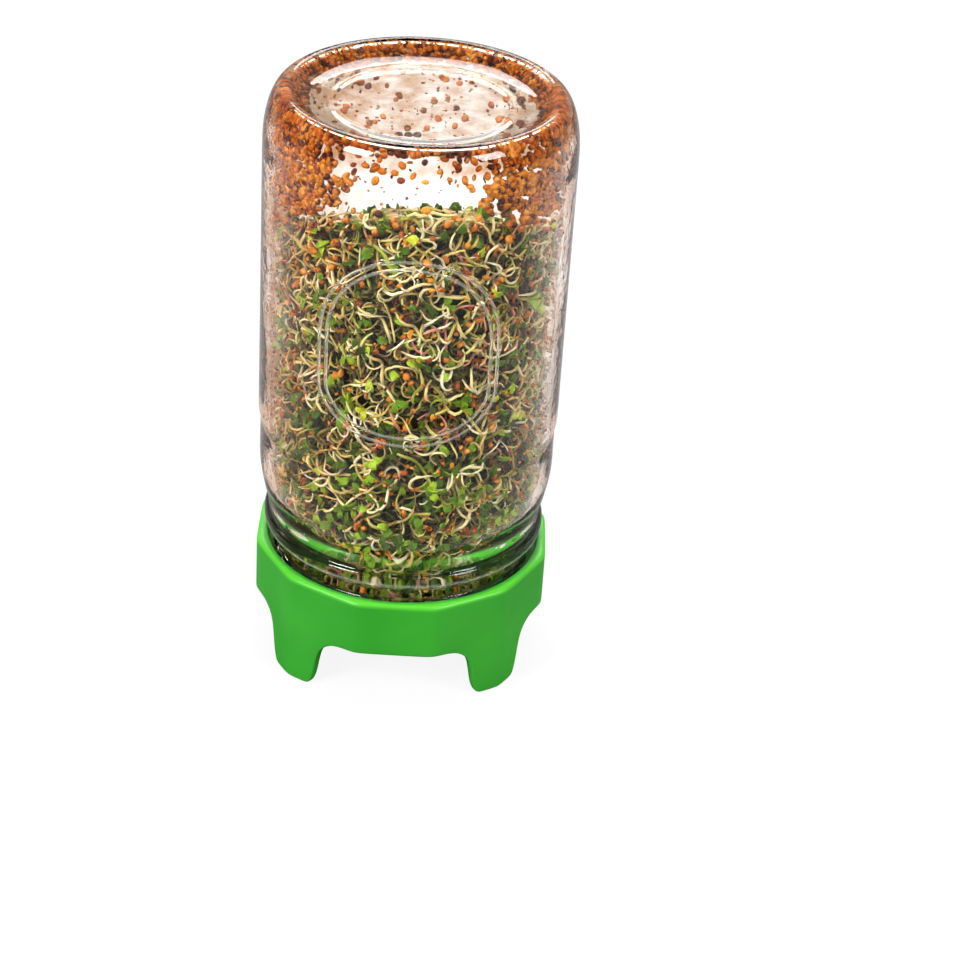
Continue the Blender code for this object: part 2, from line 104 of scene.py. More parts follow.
# One method adds any node: its settings first, then its sockets' values or links. Colours are
# given as numbers, as another node's output or as six hexadecimal digits.
class Nodes:
    def __init__(self, tree):
        self.tree = tree
        tree.nodes.clear()

    def add(self, kind, settings=None, sockets=None, out=0):
        node = self.tree.nodes.new(kind)
        for key, value in (settings or {}).items():
            if key == "stops":
                ramp = node.color_ramp.elements
                while len(ramp) < len(value):
                    ramp.new(0.5)
                for stop, (place, tint) in zip(ramp, value):
                    stop.position = place
                    stop.color = rgba(tint) if isinstance(tint, str) else (*tint, 1.0)
            else:
                setattr(node, key, value)
        for key, value in (sockets or {}).items():
            if isinstance(value, Wire):
                self.tree.links.new(value.socket, node.inputs[key])
            else:
                node.inputs[key].default_value = value
        return Wire(self, node.outputs[out]) if len(node.outputs) else node

    def maths(self, operation, first, second=0.0, clamp=False):
        settings = {"operation": operation, "use_clamp": clamp}
        return self.add("ShaderNodeMath", settings, {0: first, 1: second})

    def blend(self, factor, first, second):
        first, second = [rgba(tint) if isinstance(tint, str) else tint for tint in (first, second)]
        return self.add("ShaderNodeMix", {"data_type": "RGBA"}, {0: factor, 6: first, 7: second}, out=2)

    def noise(self, scale, detail=2.0, where=None, rough=0.5):
        return self.add("ShaderNodeTexNoise", None, {
            "Scale": scale, "Detail": detail, "Roughness": rough, "Vector": where or self.place()})

    def place(self):
        return self.add("ShaderNodeTexCoord", out=3)

    def mapped(self, key, value):
        return self.add("ShaderNodeMapping", None, {"Vector": self.place(), key: value})

    # The three coordinates, and how far the place is from the upright axis
    def axes(self):
        x, y, z = [self.add("ShaderNodeSeparateXYZ", None, {0: self.place()}, out=axis) for axis in range(3)]
        return x, y, z, self.maths("SQRT", x * x + y * y)

    def attribute(self, name):
        return self.add("ShaderNodeAttribute", {"attribute_name": name}, out=2)

    def ray(self, kind):
        return self.add("ShaderNodeLightPath", out=kind)

    def ramp(self, factor, stops):
        return self.add("ShaderNodeValToRGB", {"stops": stops}, {"Fac": factor})

    def fade(self, factor, low, high):
        return self.ramp(factor, [(low, (0, 0, 0)), (high, (1, 1, 1))])

    def bump(self, height, distance, strength):
        sockets = {"Height": height, "Distance": distance, "Strength": strength}
        return self.add("ShaderNodeBump", None, sockets)

    def surface(self, sockets):
        return self.add("ShaderNodeBsdfPrincipled", None, sockets)

    def mixed(self, factor, first, second):
        return self.add("ShaderNodeMixShader", None, {0: factor, 1: first, 2: second})


def newMaterial(name):
    made = bpy.data.materials.new(name)
    made.use_nodes = True
    return made, Nodes(made.node_tree)


def rgba(hexText):
    parts = [int(hexText[i:i + 2], 16) / 255.0 for i in (0, 2, 4)]
    return (*(c / 12.92 if c <= 0.04045 else ((c + 0.055) / 1.055) ** 2.4 for c in parts), 1.0)


# Painted shade: how dark a place in the heap is painted, from 0 just under its skin to 1 deep inside or down
# in the lid
depthShade = {"depths": (1.0 * mm, 4.0 * mm), "inLid": (53.0 * mm, 36.0 * mm), "inLidShare": 0.85}


def paintedShade(nodes):
    x, y, z, away = nodes.axes()
    shoulder = z.rising(heap["neckTop"], heap["shoulderTop"])
    fromSide = heap["neck"] + shoulder * (heap["radius"] - heap["neck"]) - away
    fromTop = heap["top"] - y * (heap["slope"] / heap["radius"]) - z
    under = nodes.maths("MINIMUM", fromSide, fromTop).rising(*depthShade["depths"])
    return nodes.maths("MAXIMUM", under, z.rising(*depthShade["inLid"]) * depthShade["inLidShare"])


def finishWith(nodes, shader):
    nodes.add("ShaderNodeOutputMaterial", None, {"Surface": shader})


def linked(name, data):
    made = bpy.data.objects.new(name, data)
    bpy.context.scene.collection.objects.link(made)
    return made


# Makes a finished piece from points and faces
def meshObject(name, points, faces, material, smoothAngle=40.0):
    mesh = bpy.data.meshes.new(name)
    mesh.from_pydata([tuple(p) for p in points], [], faces)
    mesh.materials.append(material)
    mesh.shade_smooth()
    mesh.set_sharp_from_angle(angle=math.radians(smoothAngle))
    return linked(name, mesh)


# A place on a smooth line from here to there, with given slopes at its ends
def between(t, here, there, leave, arrive):
    return ((2 * t**3 - 3 * t**2 + 1) * here + (t**3 - 2 * t**2 + t) * leave
            + (3 * t**2 - 2 * t**3) * there + (t**3 - t**2) * arrive)


# A smooth line through a few points, with a point about every step
def smoothLine(points, step):
    points = [np.array(p, float) for p in points]
    line = []
    for i in range(len(points) - 1):
        before = points[max(i - 1, 0)]
        here, there = points[i], points[i + 1]
        after = points[min(i + 2, len(points) - 1)]
        span = np.linalg.norm(there - here)
        count = max(1, int(math.ceil(span / step)))
        backSpan = max(np.linalg.norm(here - before), 1e-9)
        foreSpan = max(np.linalg.norm(after - there), 1e-9)
        leave = (there - before) * span / (span + backSpan) if i else there - here
        arrive = (after - here) * span / (span + foreSpan) if i < len(points) - 2 else there - here
        line += [between(k / count, here, there, leave, arrive) for k in range(count)]
    line.append(points[-1])
    return line


# Sweeps an outline round Z: section(degrees) gives (radius, height) pairs.
# A closed outline makes a ring; an open one starts and ends on the axis.
def swept(name, angles, section, material, closed, smoothAngle=40.0):
    points, faces = [], []
    poles = []
    count = 0
    for degrees in angles:
        turn = math.radians(degrees)
        outline = section(degrees)
        if not closed:
            poles = [outline[0], outline[-1]]
            outline = outline[1:-1]
        count = len(outline)
        points += [(r * math.cos(turn), r * math.sin(turn), z) for r, z in outline]
    total = len(angles)
    for i in range(total):
        here, there = i * count, ((i + 1) % total) * count
        for j in range(count if closed else count - 1):
            k = (j + 1) % count
            faces.append((here + j, here + k, there + k, there + j))
    if not closed:
        first, last = len(points), len(points) + 1
        points += [(0.0, 0.0, poles[0][1]), (0.0, 0.0, poles[1][1])]
        for i in range(total):
            here, there = i * count, ((i + 1) % total) * count
            faces.append((here, there, first))
            faces.append((there + count - 1, here + count - 1, last))
    return meshObject(name, points, faces, material, smoothAngle)


def evenAngles(count):
    return [360.0 * i / count for i in range(count)]


# The geometry tree of one modifier, its inputs named, and its result made a plain mesh
class Recipe(Nodes):
    def __init__(self, name):
        self.group = bpy.data.node_groups.new(name, "GeometryNodeTree")
        super().__init__(self.group)
        for way in ("INPUT", "OUTPUT"):
            self.group.interface.new_socket("Geometry", in_out=way, socket_type="NodeSocketGeometry")
        self.values = {}
        self.start = self.group.nodes.new("NodeGroupInput")

    def given(self, label, kind, value):
        item = self.group.interface.new_socket(label, in_out="INPUT", socket_type="NodeSocket" + kind)
        self.values[item.identifier] = value
        return Wire(self, self.start.outputs[label])

    def geometry(self):
        return Wire(self, self.start.outputs[0])

    def vector(self, x=0.0, y=0.0, z=0.0):
        return self.add("ShaderNodeCombineXYZ", None, {0: x, 1: y, 2: z})

    def stored(self, shape, domain, name, value):
        settings = {"data_type": "FLOAT", "domain": domain}
        sockets = {"Geometry": shape, "Name": name, "Value": value}
        return self.add("GeometryNodeStoreNamedAttribute", settings, sockets)

    # A round tube along a curve
    def tube(self, curve, around, radius, more=None):
        profile = self.add("GeometryNodeCurvePrimitiveCircle", None, {"Resolution": around, "Radius": radius})
        sockets = {"Curve": curve, "Profile Curve": profile, **(more or {})}
        return self.add("GeometryNodeCurveToMesh", None, sockets)

    def finish(self, shape, material):
        real = self.add("GeometryNodeRealizeInstances", None, {"Geometry": shape})
        real = self.add("GeometryNodeSetShadeSmooth", None, {"Geometry": real, "Shade Smooth": True})
        real = self.add("GeometryNodeSetMaterial", None, {"Geometry": real, "Material": material})
        end = self.group.nodes.new("NodeGroupOutput")
        self.group.links.new(real.socket, end.inputs[0])

    def bake(self, name, carrier):
        modifier = carrier.modifiers.new(self.group.name, "NODES")
        modifier.node_group = self.group
        for identifier, value in self.values.items():
            modifier[identifier] = value
        mesh = finalMesh(carrier)
        mesh.name = name
        bpy.data.objects.remove(carrier)
        return linked(name, mesh)


# An object's mesh with its modifiers applied
def finalMesh(carrier):
    bpy.context.view_layer.update()
    graph = bpy.context.evaluated_depsgraph_get()
    return bpy.data.meshes.new_from_object(carrier.evaluated_get(graph), depsgraph=graph)


# Materials

# Clear pressed glass, a little wavy, with a thin brown film and streaks of seed coat, its raised
# lines and its bead's crest pale with a painted highlight. Shadow rays pass, so light reaches what is inside.
glassLook = {
    "clean": "fbf9f6", "film": "c59c7a", "streak": "a5764f", "ring": "a39680", "paleHighlight": "f4f0e6",
    "base": (jarTop - 9 * mm, jarTop - 7 * mm),
    "filmLeft": 0.3,                         # how much more film there is at the left than in the middle
    "edges": (41 * mm, 48 * mm), "streaks": 0.8,
    "ringInside": (28.5 * mm, 30.5 * mm), "ringOutside": (41 * mm, 39 * mm), "ringFront": -30 * mm,
    "crest": jarMouth + 22 * mm, "crestHalf": 1.1 * mm, "crestRadius": (45.4 * mm, 45.9 * mm),
    "paleHighlightRise": 0.25 * mm, "paleHighlightShare": 0.24,
}


def makeGlass():
    made, nodes = newMaterial("pressedGlass")
    look = glassLook
    wave = nodes.noise(55.0, 2.0) * 0.7 + nodes.noise(240.0, 1.0) * 0.3
    x, y, z, away = nodes.axes()
    base = z.rising(*look["base"])
    patchy = nodes.fade(nodes.noise(120.0, 5.0, rough=0.65), 0.3, 0.65)
    across = x / wallRadius
    film = patchy * (base + across * across - across * look["filmLeft"])
    tint = nodes.blend(film.clipped(), look["clean"], look["film"])
    upright = nodes.mapped("Scale", (1.0, 1.0, 0.1))
    streak = nodes.fade(nodes.noise(260.0, 3.0, upright), 0.44, 0.6)
    edge = nodes.maths("ABSOLUTE", x).rising(*look["edges"])
    tint = nodes.blend(streak * edge * look["streaks"], tint, look["streak"])
    ring = base * away.rising(*look["ringInside"]) * away.rising(*look["ringOutside"])
    front = y.rising(0.0, look["ringFront"])
    tint = nodes.blend(ring * (0.33 + patchy * 0.35 + front * 0.3), tint, look["ring"])
    skin = nodes.surface({
        "Base Color": tint, "Roughness": 0.0, "IOR": 1.45, "Transmission Weight": 1.0,
        "Normal": nodes.bump(wave, 0.00035, 0.35)})
    # A pale rough share on the raised lines and the bead's crest: painted highlight
    paleHighlight = nodes.surface({"Base Color": rgba(look["paleHighlight"]), "Roughness": 0.25})
    raised = away.rising(wallRadius, wallRadius + look["paleHighlightRise"])
    crest = nodes.maths("ABSOLUTE", z - look["crest"]).rising(look["crestHalf"], 0.0)
    crest = crest * away.rising(*look["crestRadius"]) * (0.5 + nodes.noise(70.0, 3.0))
    skin = nodes.mixed(nodes.maths("MAXIMUM", raised, crest) * look["paleHighlightShare"], skin, paleHighlight)
    clear = nodes.add("ShaderNodeBsdfTransparent", None, {"Color": rgba("f4f5f1")})
    finishWith(nodes, nodes.mixed(nodes.ray("Is Shadow Ray"), skin, clear))
    return made


# Moulded green plastic, satin, with faint flow in its colour and fine dimples. The rim's outer edge
# carries a painted highlight, and the bore round the jar's neck is painted dark as shade.
plasticLook = {
    "green": "2a9e20", "flow": "37ad29", "edge": "63dd2c", "bore": "12300c",
    "rimHighlightHeight": (lidRim - 1.7 * mm, lidRim - 0.3 * mm), "rimHighlightRadius": (46.3 * mm, 47.3 * mm),
    "rimHighlightShare": 0.6,
    "boreShadeTop": (lidRim - 0.3 * mm, lidRim - 2.3 * mm), "boreShadeFoot": (23.2 * mm, 24.2 * mm),
    "boreShadeRadius": (46.3 * mm, 45.3 * mm), "boreShadeShare": 0.85,
}


def makePlastic():
    made, nodes = newMaterial("mouldedGreen")
    look = plasticLook
    base = nodes.blend(nodes.fade(nodes.noise(28.0, 3.0), 0.35, 0.7), look["green"], look["flow"])
    x, y, z, away = nodes.axes()
    # Painted highlight along the rim's outer edge
    edge = z.rising(*look["rimHighlightHeight"]) * away.rising(*look["rimHighlightRadius"])
    base = nodes.blend(edge * look["rimHighlightShare"], base, look["edge"])
    # Painted shade in the bore round the jar's neck, where little light reaches
    bore = away.rising(*look["boreShadeRadius"]) * z.rising(*look["boreShadeTop"]) * z.rising(*look["boreShadeFoot"])
    base = nodes.blend(bore * look["boreShadeShare"], base, look["bore"])
    finishWith(nodes, nodes.surface({
        "Base Color": base, "Roughness": 0.30 + nodes.noise(90.0, 3.0) * 0.16, "IOR": 1.5,
        "Coat Weight": 0.12, "Coat Roughness": 0.3,
        "Subsurface Weight": 0.12, "Subsurface Radius": (0.2, 1.0, 0.15), "Subsurface Scale": 0.004,
        "Normal": nodes.bump(nodes.noise(900.0, 2.0), 0.00004, 0.3)}))
    return made


# Bright drawn steel wire, a little stained
def makeSteel():
    made, nodes = newMaterial("drawnSteel")
    stain = nodes.noise(160.0, 4.0)
    base = nodes.blend(stain, "d8d6d2", "aaa59d")
    finishWith(nodes, nodes.surface({"Base Color": base, "Metallic": 1.0, "Roughness": 0.2 + stain * 0.2}))
    return made


# A moist and slightly translucent skin. Each piece has its own tone, and one fine grain marks its
# colour, roughness and relief. The look's marks are further tints, each with its share; on stems and leaves
# one is painted shade.
def makeMoist(name, look):
    made, nodes = newMaterial(name)
    own = nodes.ramp(nodes.attribute("tone"), look["tones"])
    grain = nodes.noise(*look["grain"])
    body = nodes.blend(grain * look["grainShare"], own, look["grainTint"])
    for share, tint in look["marks"](nodes):
        body = nodes.blend(share, body, tint)
    finishWith(nodes, nodes.surface({
        "Base Color": body, "Roughness": look["rough"] + grain * look["uneven"], "IOR": look["ior"],
        "Subsurface Weight": look["glow"], "Subsurface Radius": look["bleed"],
        "Subsurface Scale": look["bleedScale"], "Specular IOR Level": look["shine"],
        "Normal": nodes.bump(grain, look["relief"], look["reliefShare"])}))
    return made


# Sprout stems: each its own cream, greener towards the leaves, browner at the root's tip, with painted shade
# deep in the heap
stemLook = {
    "tones": [(0.0, "fcf3d8"), (0.3, "f4e2ae"), (0.5, "dcc27e"), (0.66, "bba558"),
              (0.78, "9aa83c"), (0.88, "7c6a2c"), (0.93, "d9907c"), (1.0, "c85c6a")],
    "grain": (420.0, 3.0), "grainShare": 0.35, "grainTint": "8f7440",
    "marks": lambda nodes: (
        (nodes.attribute("along").rising(0.3, 0.0) * 0.6, "a9b25a"), (paintedShade(nodes) * 0.88, "14140a")),
    "rough": 0.36, "uneven": 0.15, "ior": 1.4, "shine": 0.18,
    "glow": 0.25, "bleed": (1.0, 0.8, 0.4), "bleedScale": 0.0015,
    "relief": 0.00012, "reliefShare": 0.4,
}

# Seed leaves: from dark to bright green, some yellowish, with painted shade deep in the heap
leafLook = {
    "tones": [(0.0, "38480f"), (0.3, "4f6e15"), (0.55, "6b921c"), (0.75, "8cb024"), (0.9, "aace2a"),
              (1.0, "d0d840")],
    "grain": (700.0, 4.0), "grainShare": 0.5, "grainTint": "2a4410",
    "marks": lambda nodes: ((paintedShade(nodes) * 0.85, "0c1406"),),
    "rough": 0.34, "uneven": 0.2, "ior": 1.42, "shine": 0.18,
    "glow": 0.2, "bleed": (0.6, 1.0, 0.15), "bleedScale": 0.001,
    "relief": 0.0001, "reliefShare": 0.4,
}

# Wet seeds and hulls, from amber to rust and maroon
seedLook = {
    "tones": [(0.0, "d98c1a"), (0.25, "c97611"), (0.5, "b96412"), (0.68, "8f420e"), (0.82, "54190f"),
              (1.0, "20121e")],
    "grain": (1300.0, 3.0), "grainShare": 0.4, "grainTint": "6a2c0a",
    "marks": lambda nodes: ((nodes.fade(nodes.noise(330.0, 2.0), 0.55, 0.75), "efa544"),),
    "rough": 0.22, "uneven": 0.2, "ior": 1.45, "shine": 0.35,
    "glow": 0.15, "bleed": (1.0, 0.45, 0.15), "bleedScale": 0.001,
    "relief": 0.00008, "reliefShare": 0.35,
}


# The heap's depth, painted dark as shade and seen only between stems: dim painted stems winding over darkness
def makeDepth():
    made, nodes = newMaterial("heapDepth")
    patch = nodes.noise(260.0, 4.0)
    base = nodes.ramp(patch, [(0.3, "090a05"), (0.5, "15190a"), (0.62, "24190c"), (0.75, "3e3218")])
    height = patch * 0.3
    strands = ((170.0, 0.045, 0.0, "3f4a1a"), (210.0, 0.04, 0.4, "6f6238"), (150.0, 0.035, 0.9, "877a4a"))
    for scale, width, shift, strand in strands:
        where = nodes.mapped("Location", (shift, shift, 0.0))
        line = nodes.maths("ABSOLUTE", nodes.noise(scale, 1.0, where) - 0.5).rising(width, 0.0)
        base = nodes.blend((line * 2.0).clipped(), base, strand)
        height = height + line
    finishWith(nodes, nodes.surface({
        "Base Color": base, "Roughness": 0.6 + patch * 0.2, "Specular IOR Level": 0.02,
        "Normal": nodes.bump(height, 0.0007, 0.8)}))
    return made


# Rays mirrored by a surface, for which the studio is kept dark, so that the glass carries no veil
def mirrored(nodes):
    return nodes.ray("Is Glossy Ray") * nodes.ray("Is Reflection Ray")


def grey(key):
    return (light[key],) * 3


def makeTable():
    made, nodes = newMaterial("paleTable")
    away = nodes.add("ShaderNodeSeparateXYZ", None, {0: nodes.place()}, out=1) * 2.0 + 0.5
    under = nodes.ramp(away, [(0.3, grey("flag")), (0.62, grey("back"))])
    far = nodes.ramp(away, [(0.5, grey("mirrored")), (0.7, grey("grazing"))])
    under = nodes.blend(mirrored(nodes), under, far)
    seen = nodes.ray("Is Camera Ray")
    shader = nodes.surface({
        "Base Color": nodes.blend(seen, under, "f2f2f2"), "Roughness": 0.8 + nodes.noise(3.0, 2.0) * 0.1})
    glow = nodes.add("ShaderNodeEmission", None, {"Color": rgba("ffffff"), "Strength": 1.0})
    finishWith(nodes, nodes.mixed(seen * light["floorShare"], shader, glow))
    return made


print("materials")
glassFinish = makeGlass()
plasticFinish = makePlastic()
steelFinish = makeSteel()
stemFinish = makeMoist("sproutStem", stemLook)
leafFinish = makeMoist("seedLeaf", leafLook)
seedFinish = makeMoist("wetSeed", seedLook)
depthFinish = makeDepth()

# Camera and light
camera = {
    "place": (0.01454, -0.71193, 0.49216),
    "turn": (58.606, -3.269, 1.161),       # degrees about X, Y and Z
    "lens": 94.25, "sensor": 36.0,
}
light = {
    "back": 0.95, "front": 0.62,    # the studio seen through the glass: behind it, and on this side
    "flag": 0.26,                   # a dark card on the table before the jar, seen only in the glass
    "mirrored": 0.07, "grazing": 0.34,       # the studio in the glass's mirrored rays, steep and shallow
    "ambient": 0.44,
    "lamps": (                      # place, size and power of each
        ((-0.85, -0.75, 0.85), 0.42, 16.0), ((0.85, -0.55, 0.8), 0.4, 8.0), ((0.0, 0.7, 0.9), 0.6, 9.0)),
    "aim": (0.0, 0.0, 0.11),
    "floorShare": 0.9,              # how much of the floor's white is its own light
}


def makeCamera():
    data = bpy.data.cameras.new("photoView")
    data.lens = camera["lens"]
    data.sensor_width = camera["sensor"]
    made = linked("photoView", data)
    made.location = camera["place"]
    made.rotation_euler = [math.radians(a) for a in camera["turn"]]
    bpy.context.scene.camera = made


def makeLight():
    world = bpy.data.worlds.new("studio")
    bpy.context.scene.world = world
    world.use_nodes = True
    nodes = Nodes(world.node_tree)
    way = nodes.add("ShaderNodeTexCoord", out=0)
    away = nodes.add("ShaderNodeSeparateXYZ", None, {0: way}, out=1) * 0.5 + 0.5
    shade = nodes.ramp(away, [(0.0, grey("front")), (0.62, grey("back"))])
    through = nodes.ray("Is Transmission Ray") * (1.0 - nodes.ray("Diffuse Depth")).clipped()
    dim = nodes.ramp(away, [(0.7, grey("mirrored")), (0.88, grey("grazing"))])
    shade = nodes.blend(through, nodes.blend(mirrored(nodes), (*grey("ambient"), 1.0), dim), shade)
    shade = nodes.blend(nodes.ray("Is Camera Ray"), shade, "ffffff")
    sky = nodes.add("ShaderNodeBackground", None, {"Color": shade, "Strength": 1.0})
    nodes.add("ShaderNodeOutputWorld", None, {"Surface": sky})
    for place, size, power in light["lamps"]:
        lamp = bpy.data.lights.new("softbox", "AREA")
        lamp.size = size
        lamp.energy = power
        made = linked("softbox", lamp)
        made.location = place
        aim = Vector(light["aim"]) - made.location
        made.rotation_euler = aim.to_track_quat("-Z", "Y").to_euler()


def makeFloor():
    reach = 4.0
    level = -0.1 * mm
    points = [(-reach, -reach, level), (reach, -reach, level), (reach, reach, level), (-reach, reach, level)]
    floor = meshObject("tableTop", points, [(0, 1, 2, 3)], makeTable())


makeCamera()
makeLight()
makeFloor()
bpy.context.scene.view_settings.view_transform = "Standard"

# The glass jar
glass = {
    "wall": 3.0 * mm, "sides": 168, "smooth": 80.0,
    "pitch": 6.35 * mm, "root": 41.5 * mm, "thread": 1.6 * mm, "threadHalf": 1.7 * mm,
    "threadFrom": 24.6 * mm, "threadTo": 37.2 * mm, "threadStep": 0.3 * mm,
}
frameLines = {
    "azimuth": 270.1, "halfWidth": 29.0 * mm, "low": 98.7 * mm, "high": 161.5 * mm,
    "bow": 18.0 * mm,            # how far the lower end bellies down
    "apart": 2.6 * mm, "bead": 0.95 * mm, "proud": 0.28 * mm, "step": 0.9 * mm, "sides": 12,
    "crease": 41.0,              # degrees past which an edge of the glass is sharp, above this height
    "creaseFrom": 93.7 * mm,
}


def threadHeight(degrees, z, phase):
    turns = (z - glass["threadFrom"]) / glass["pitch"] - degrees / 360.0 - phase
    off = abs(turns - round(turns)) * glass["pitch"]
    if off > glass["threadHalf"]:
        return 0.0
    ends = min(z - glass["threadFrom"], glass["threadTo"] - z) / (1.2 * mm)
    return (0.5 + 0.5 * math.cos(math.pi * off / glass["threadHalf"])) * max(0.0, min(1.0, ends))


# The raised frame's outline, an arch over straight sides and a bowed foot, as places on the front
def framePath(inset):
    half = frameLines["halfWidth"] - inset
    spring, foot = frameLines["high"] - frameLines["halfWidth"], frameLines["low"] + frameLines["bow"]
    bow = frameLines["bow"] - inset
    corners = [(half * math.cos(a), spring + half * math.sin(a)) for a in np.linspace(0.0, math.pi, 60)]
    rise = int((spring - foot) / frameLines["step"])
    corners += [(-half, spring + (foot - spring) * i / rise) for i in range(1, rise)]
    corners += [(half * math.cos(a), foot + bow * math.sin(a)) for a in np.linspace(math.pi, tau, 48)]
    corners += [(half, foot + (spring - foot) * i / rise) for i in range(1, rise)]
    r = wallRadius + frameLines["proud"] - frameLines["bead"]
    middle = math.radians(frameLines["azimuth"])
    turned = [(middle + u / jarRadius, z) for u, z in corners]
    return [(r * math.cos(turn), r * math.sin(turn), z) for turn, z in turned]


# Round beads along the frame's two lines, joined to the wall by one union
def addFrame(jar):
    data = bpy.data.curves.new("frameLines", "CURVE")
    data.dimensions = "3D"
    for inset in (0.0, frameLines["apart"]):
        path = framePath(inset)
        spline = data.splines.new("POLY")
        spline.points.add(len(path) - 1)
        spline.points.foreach_set("co", [c for point in path for c in (*point, 1.0)])
        spline.use_cyclic_u = True
    recipe = Recipe("frameBeads")
    bead = recipe.given("Bead radius", "Float", frameLines["bead"])
    around = recipe.given("Sides", "Int", frameLines["sides"])
    recipe.finish(recipe.tube(recipe.geometry(), around, bead), glassFinish)
    beads = recipe.bake("frameBeads", linked("frameLines", data))
    fixNormals(beads.data)
    union = jar.modifiers.new("frame", "BOOLEAN")
    union.operation, union.solver, union.object = "UNION", "MANIFOLD", beads
    mesh = finalMesh(jar)
    jar.modifiers.clear()
    jar.data = mesh
    bpy.data.objects.remove(beads)
    mesh.shade_smooth()
    mesh.set_sharp_from_angle(angle=math.radians(frameLines["crease"]))
    sharp = mesh.attributes["sharp_edge"].data
    for edge in mesh.edges:
        if mesh.vertices[edge.vertices[0]].co.z < frameLines["creaseFrom"]:
            sharp[edge.index].value = False


def fixNormals(mesh):
    builder = bmesh.new()
    builder.from_mesh(mesh)
    bmesh.ops.recalc_face_normals(builder, faces=builder.faces[:])
    builder.to_mesh(mesh)
    builder.free()


# Places given in millimetres, as a radius and a height above a level
def above(level, points):
    return [(r * mm, level + z * mm) for r, z in points]


def jarOutline():
    body = wallRadius / mm
    cap = above(jarTop, [
        (0.0, -4.9), (18.0, -4.9), (26.4, -4.9), (27.2, -4.62), (28.2, -4.62), (29.0, -4.9), (33.0, -4.8),
        (36.2, -4.0), (38.4, -2.5), (40.0, -0.9), (41.2, -0.15), (42.2, -0.05), (43.4, -0.5), (44.9, -1.7),
        (46.4, -4.2), (47.7, -8.4), (48.5, -13.5), (body, -20.0), (body, -26.0)])
    side = above(jarMouth, [(body, 72.0), (body, 64.0)])
    heel = above(jarMouth, [
        (body - 0.05, 62.5), (body - 0.55, 59.5), (48.05, 56.0), (48.1, 47.0), (47.9, 43.0), (47.3, 39.0),
        (46.3, 34.0), (45.0, 29.0), (44.6, 27.0)])
    bead = above(jarMouth, [
        (44.9, 25.9), (45.9, 24.9), (46.3, 23.0), (45.9, 21.4), (44.4, 20.2), (43.3, 19.0), (43.1, 17.0),
        (42.6, 15.6), (glass["root"] / mm, 14.6)])
    return smoothLine(cap, 0.9 * mm), side, smoothLine(heel, 1.0 * mm), smoothLine(bead, 0.5 * mm)


def jarInside():
    wall = (jarRadius - glass["wall"]) / mm
    lip = above(jarMouth, [
        (glass["root"] / mm, 1.5), (41.3, 0.5), (40.8, 0.0), (39.2, 0.0), (38.6, 0.4), (38.4, 1.2)])
    throat = above(jarMouth, [
        (38.4, 4.0), (38.4, 20.0), (38.9, 23.5), (40.4, 28.0), (42.6, 33.0), (44.3, 38.5), (45.2, 45.0),
        (45.5, 55.0), (wall, 64.0)])
    dome = above(jarTop, [
        (wall, -22.0), (46.2, -13.6), (45.6, -8.8), (44.7, -5.0), (43.6, -2.9), (42.3, -2.0), (41.1, -2.1),
        (39.6, -3.3), (37.6, -5.1), (34.6, -6.6), (30.0, -7.1), (18.0, -7.2), (0.0, -7.2)])
    return smoothLine(lip, 0.5 * mm), smoothLine(throat, 1.6 * mm), smoothLine(dome, 1.0 * mm)


def makeJar():
    cap, side, heel, bead = jarOutline()
    lip, throat, dome = jarInside()
    neckRows = np.arange(glass["threadTo"], glass["threadFrom"], -glass["threadStep"])
    root, thread = glass["root"], glass["thread"]

    def section(degrees):
        outline = [tuple(p) for p in cap + side + heel + bead]
        outline += [(root + thread * threadHeight(degrees, z, 0.0), float(z)) for z in neckRows]
        return outline + [tuple(p) for p in lip + throat + dome]

    made = swept("glassJar", evenAngles(glass["sides"]), section, glassFinish, False, glass["smooth"])
    addFrame(made)
    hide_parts("glass_jar")
    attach(made, "root")


print("jar")
makeJar()

# The strainer lid
lid = {
    "sides": 12, "corner": 49.5 * mm, "soften": 0.35 * mm, "smooth": 50.0,
    "bore": 45.0 * mm, "hole": 40.2 * mm, "footWall": 2.9 * mm,
    "floorUnder": 20.0 * mm, "floorTop": 21.3 * mm,
    "thread": 2.6 * mm, "threadRows": (23.2 * mm, 37.4 * mm, 0.42 * mm),
    "feet": (45.0, 135.0, 225.0, 315.0),
    # degrees from the middle of a foot, and the height of the wall's lower edge in millimetres
    "foot": [(0.0, 0.0), (7.6, 0.0), (9.4, 0.5), (10.8, 2.6), (11.7, 5.5), (12.6, 9.6), (13.6, 13.0),
             (15.4, 15.8), (18.0, 17.7), (21.0, 18.8), (25.0, 19.25), (30.0, 19.3), (45.0, 19.3)],
    # spans of degrees from the middle of a foot, and how far apart the wall's columns are in each
    "columns": ((0.0, 8.0, 1.6), (8.0, 16.0, 0.4), (16.0, 26.0, 0.9), (26.0, 45.0, 0.95)),
}


# A height read off a line of points without overshooting them
def steadyCurve(points, x):
    for i in range(len(points) - 1):
        (x0, y0), (x1, y1) = points[i], points[i + 1]
        if x <= x1:
            h = x1 - x0
            slope = (y1 - y0) / h
            before = (y0 - points[i - 1][1]) / (x0 - points[i - 1][0]) if i else slope
            after = slope
            if i + 2 < len(points):
                after = (points[i + 2][1] - y1) / (points[i + 2][0] - x1)
            leave, arrive = [
                2 * other * slope / (other + slope) if other * slope > 0 else 0.0
                for other in (before, after)]
            return between((x - x0) / h, y0, y1, h * leave, h * arrive)
    return points[-1][1]


# Degrees from one azimuth to another, from -180 to 180
def bearing(degrees, middle):
    return (degrees - middle + 180.0) % 360.0 - 180.0


def footOffset(degrees):
    return min(abs(bearing(degrees, foot)) for foot in lid["feet"])


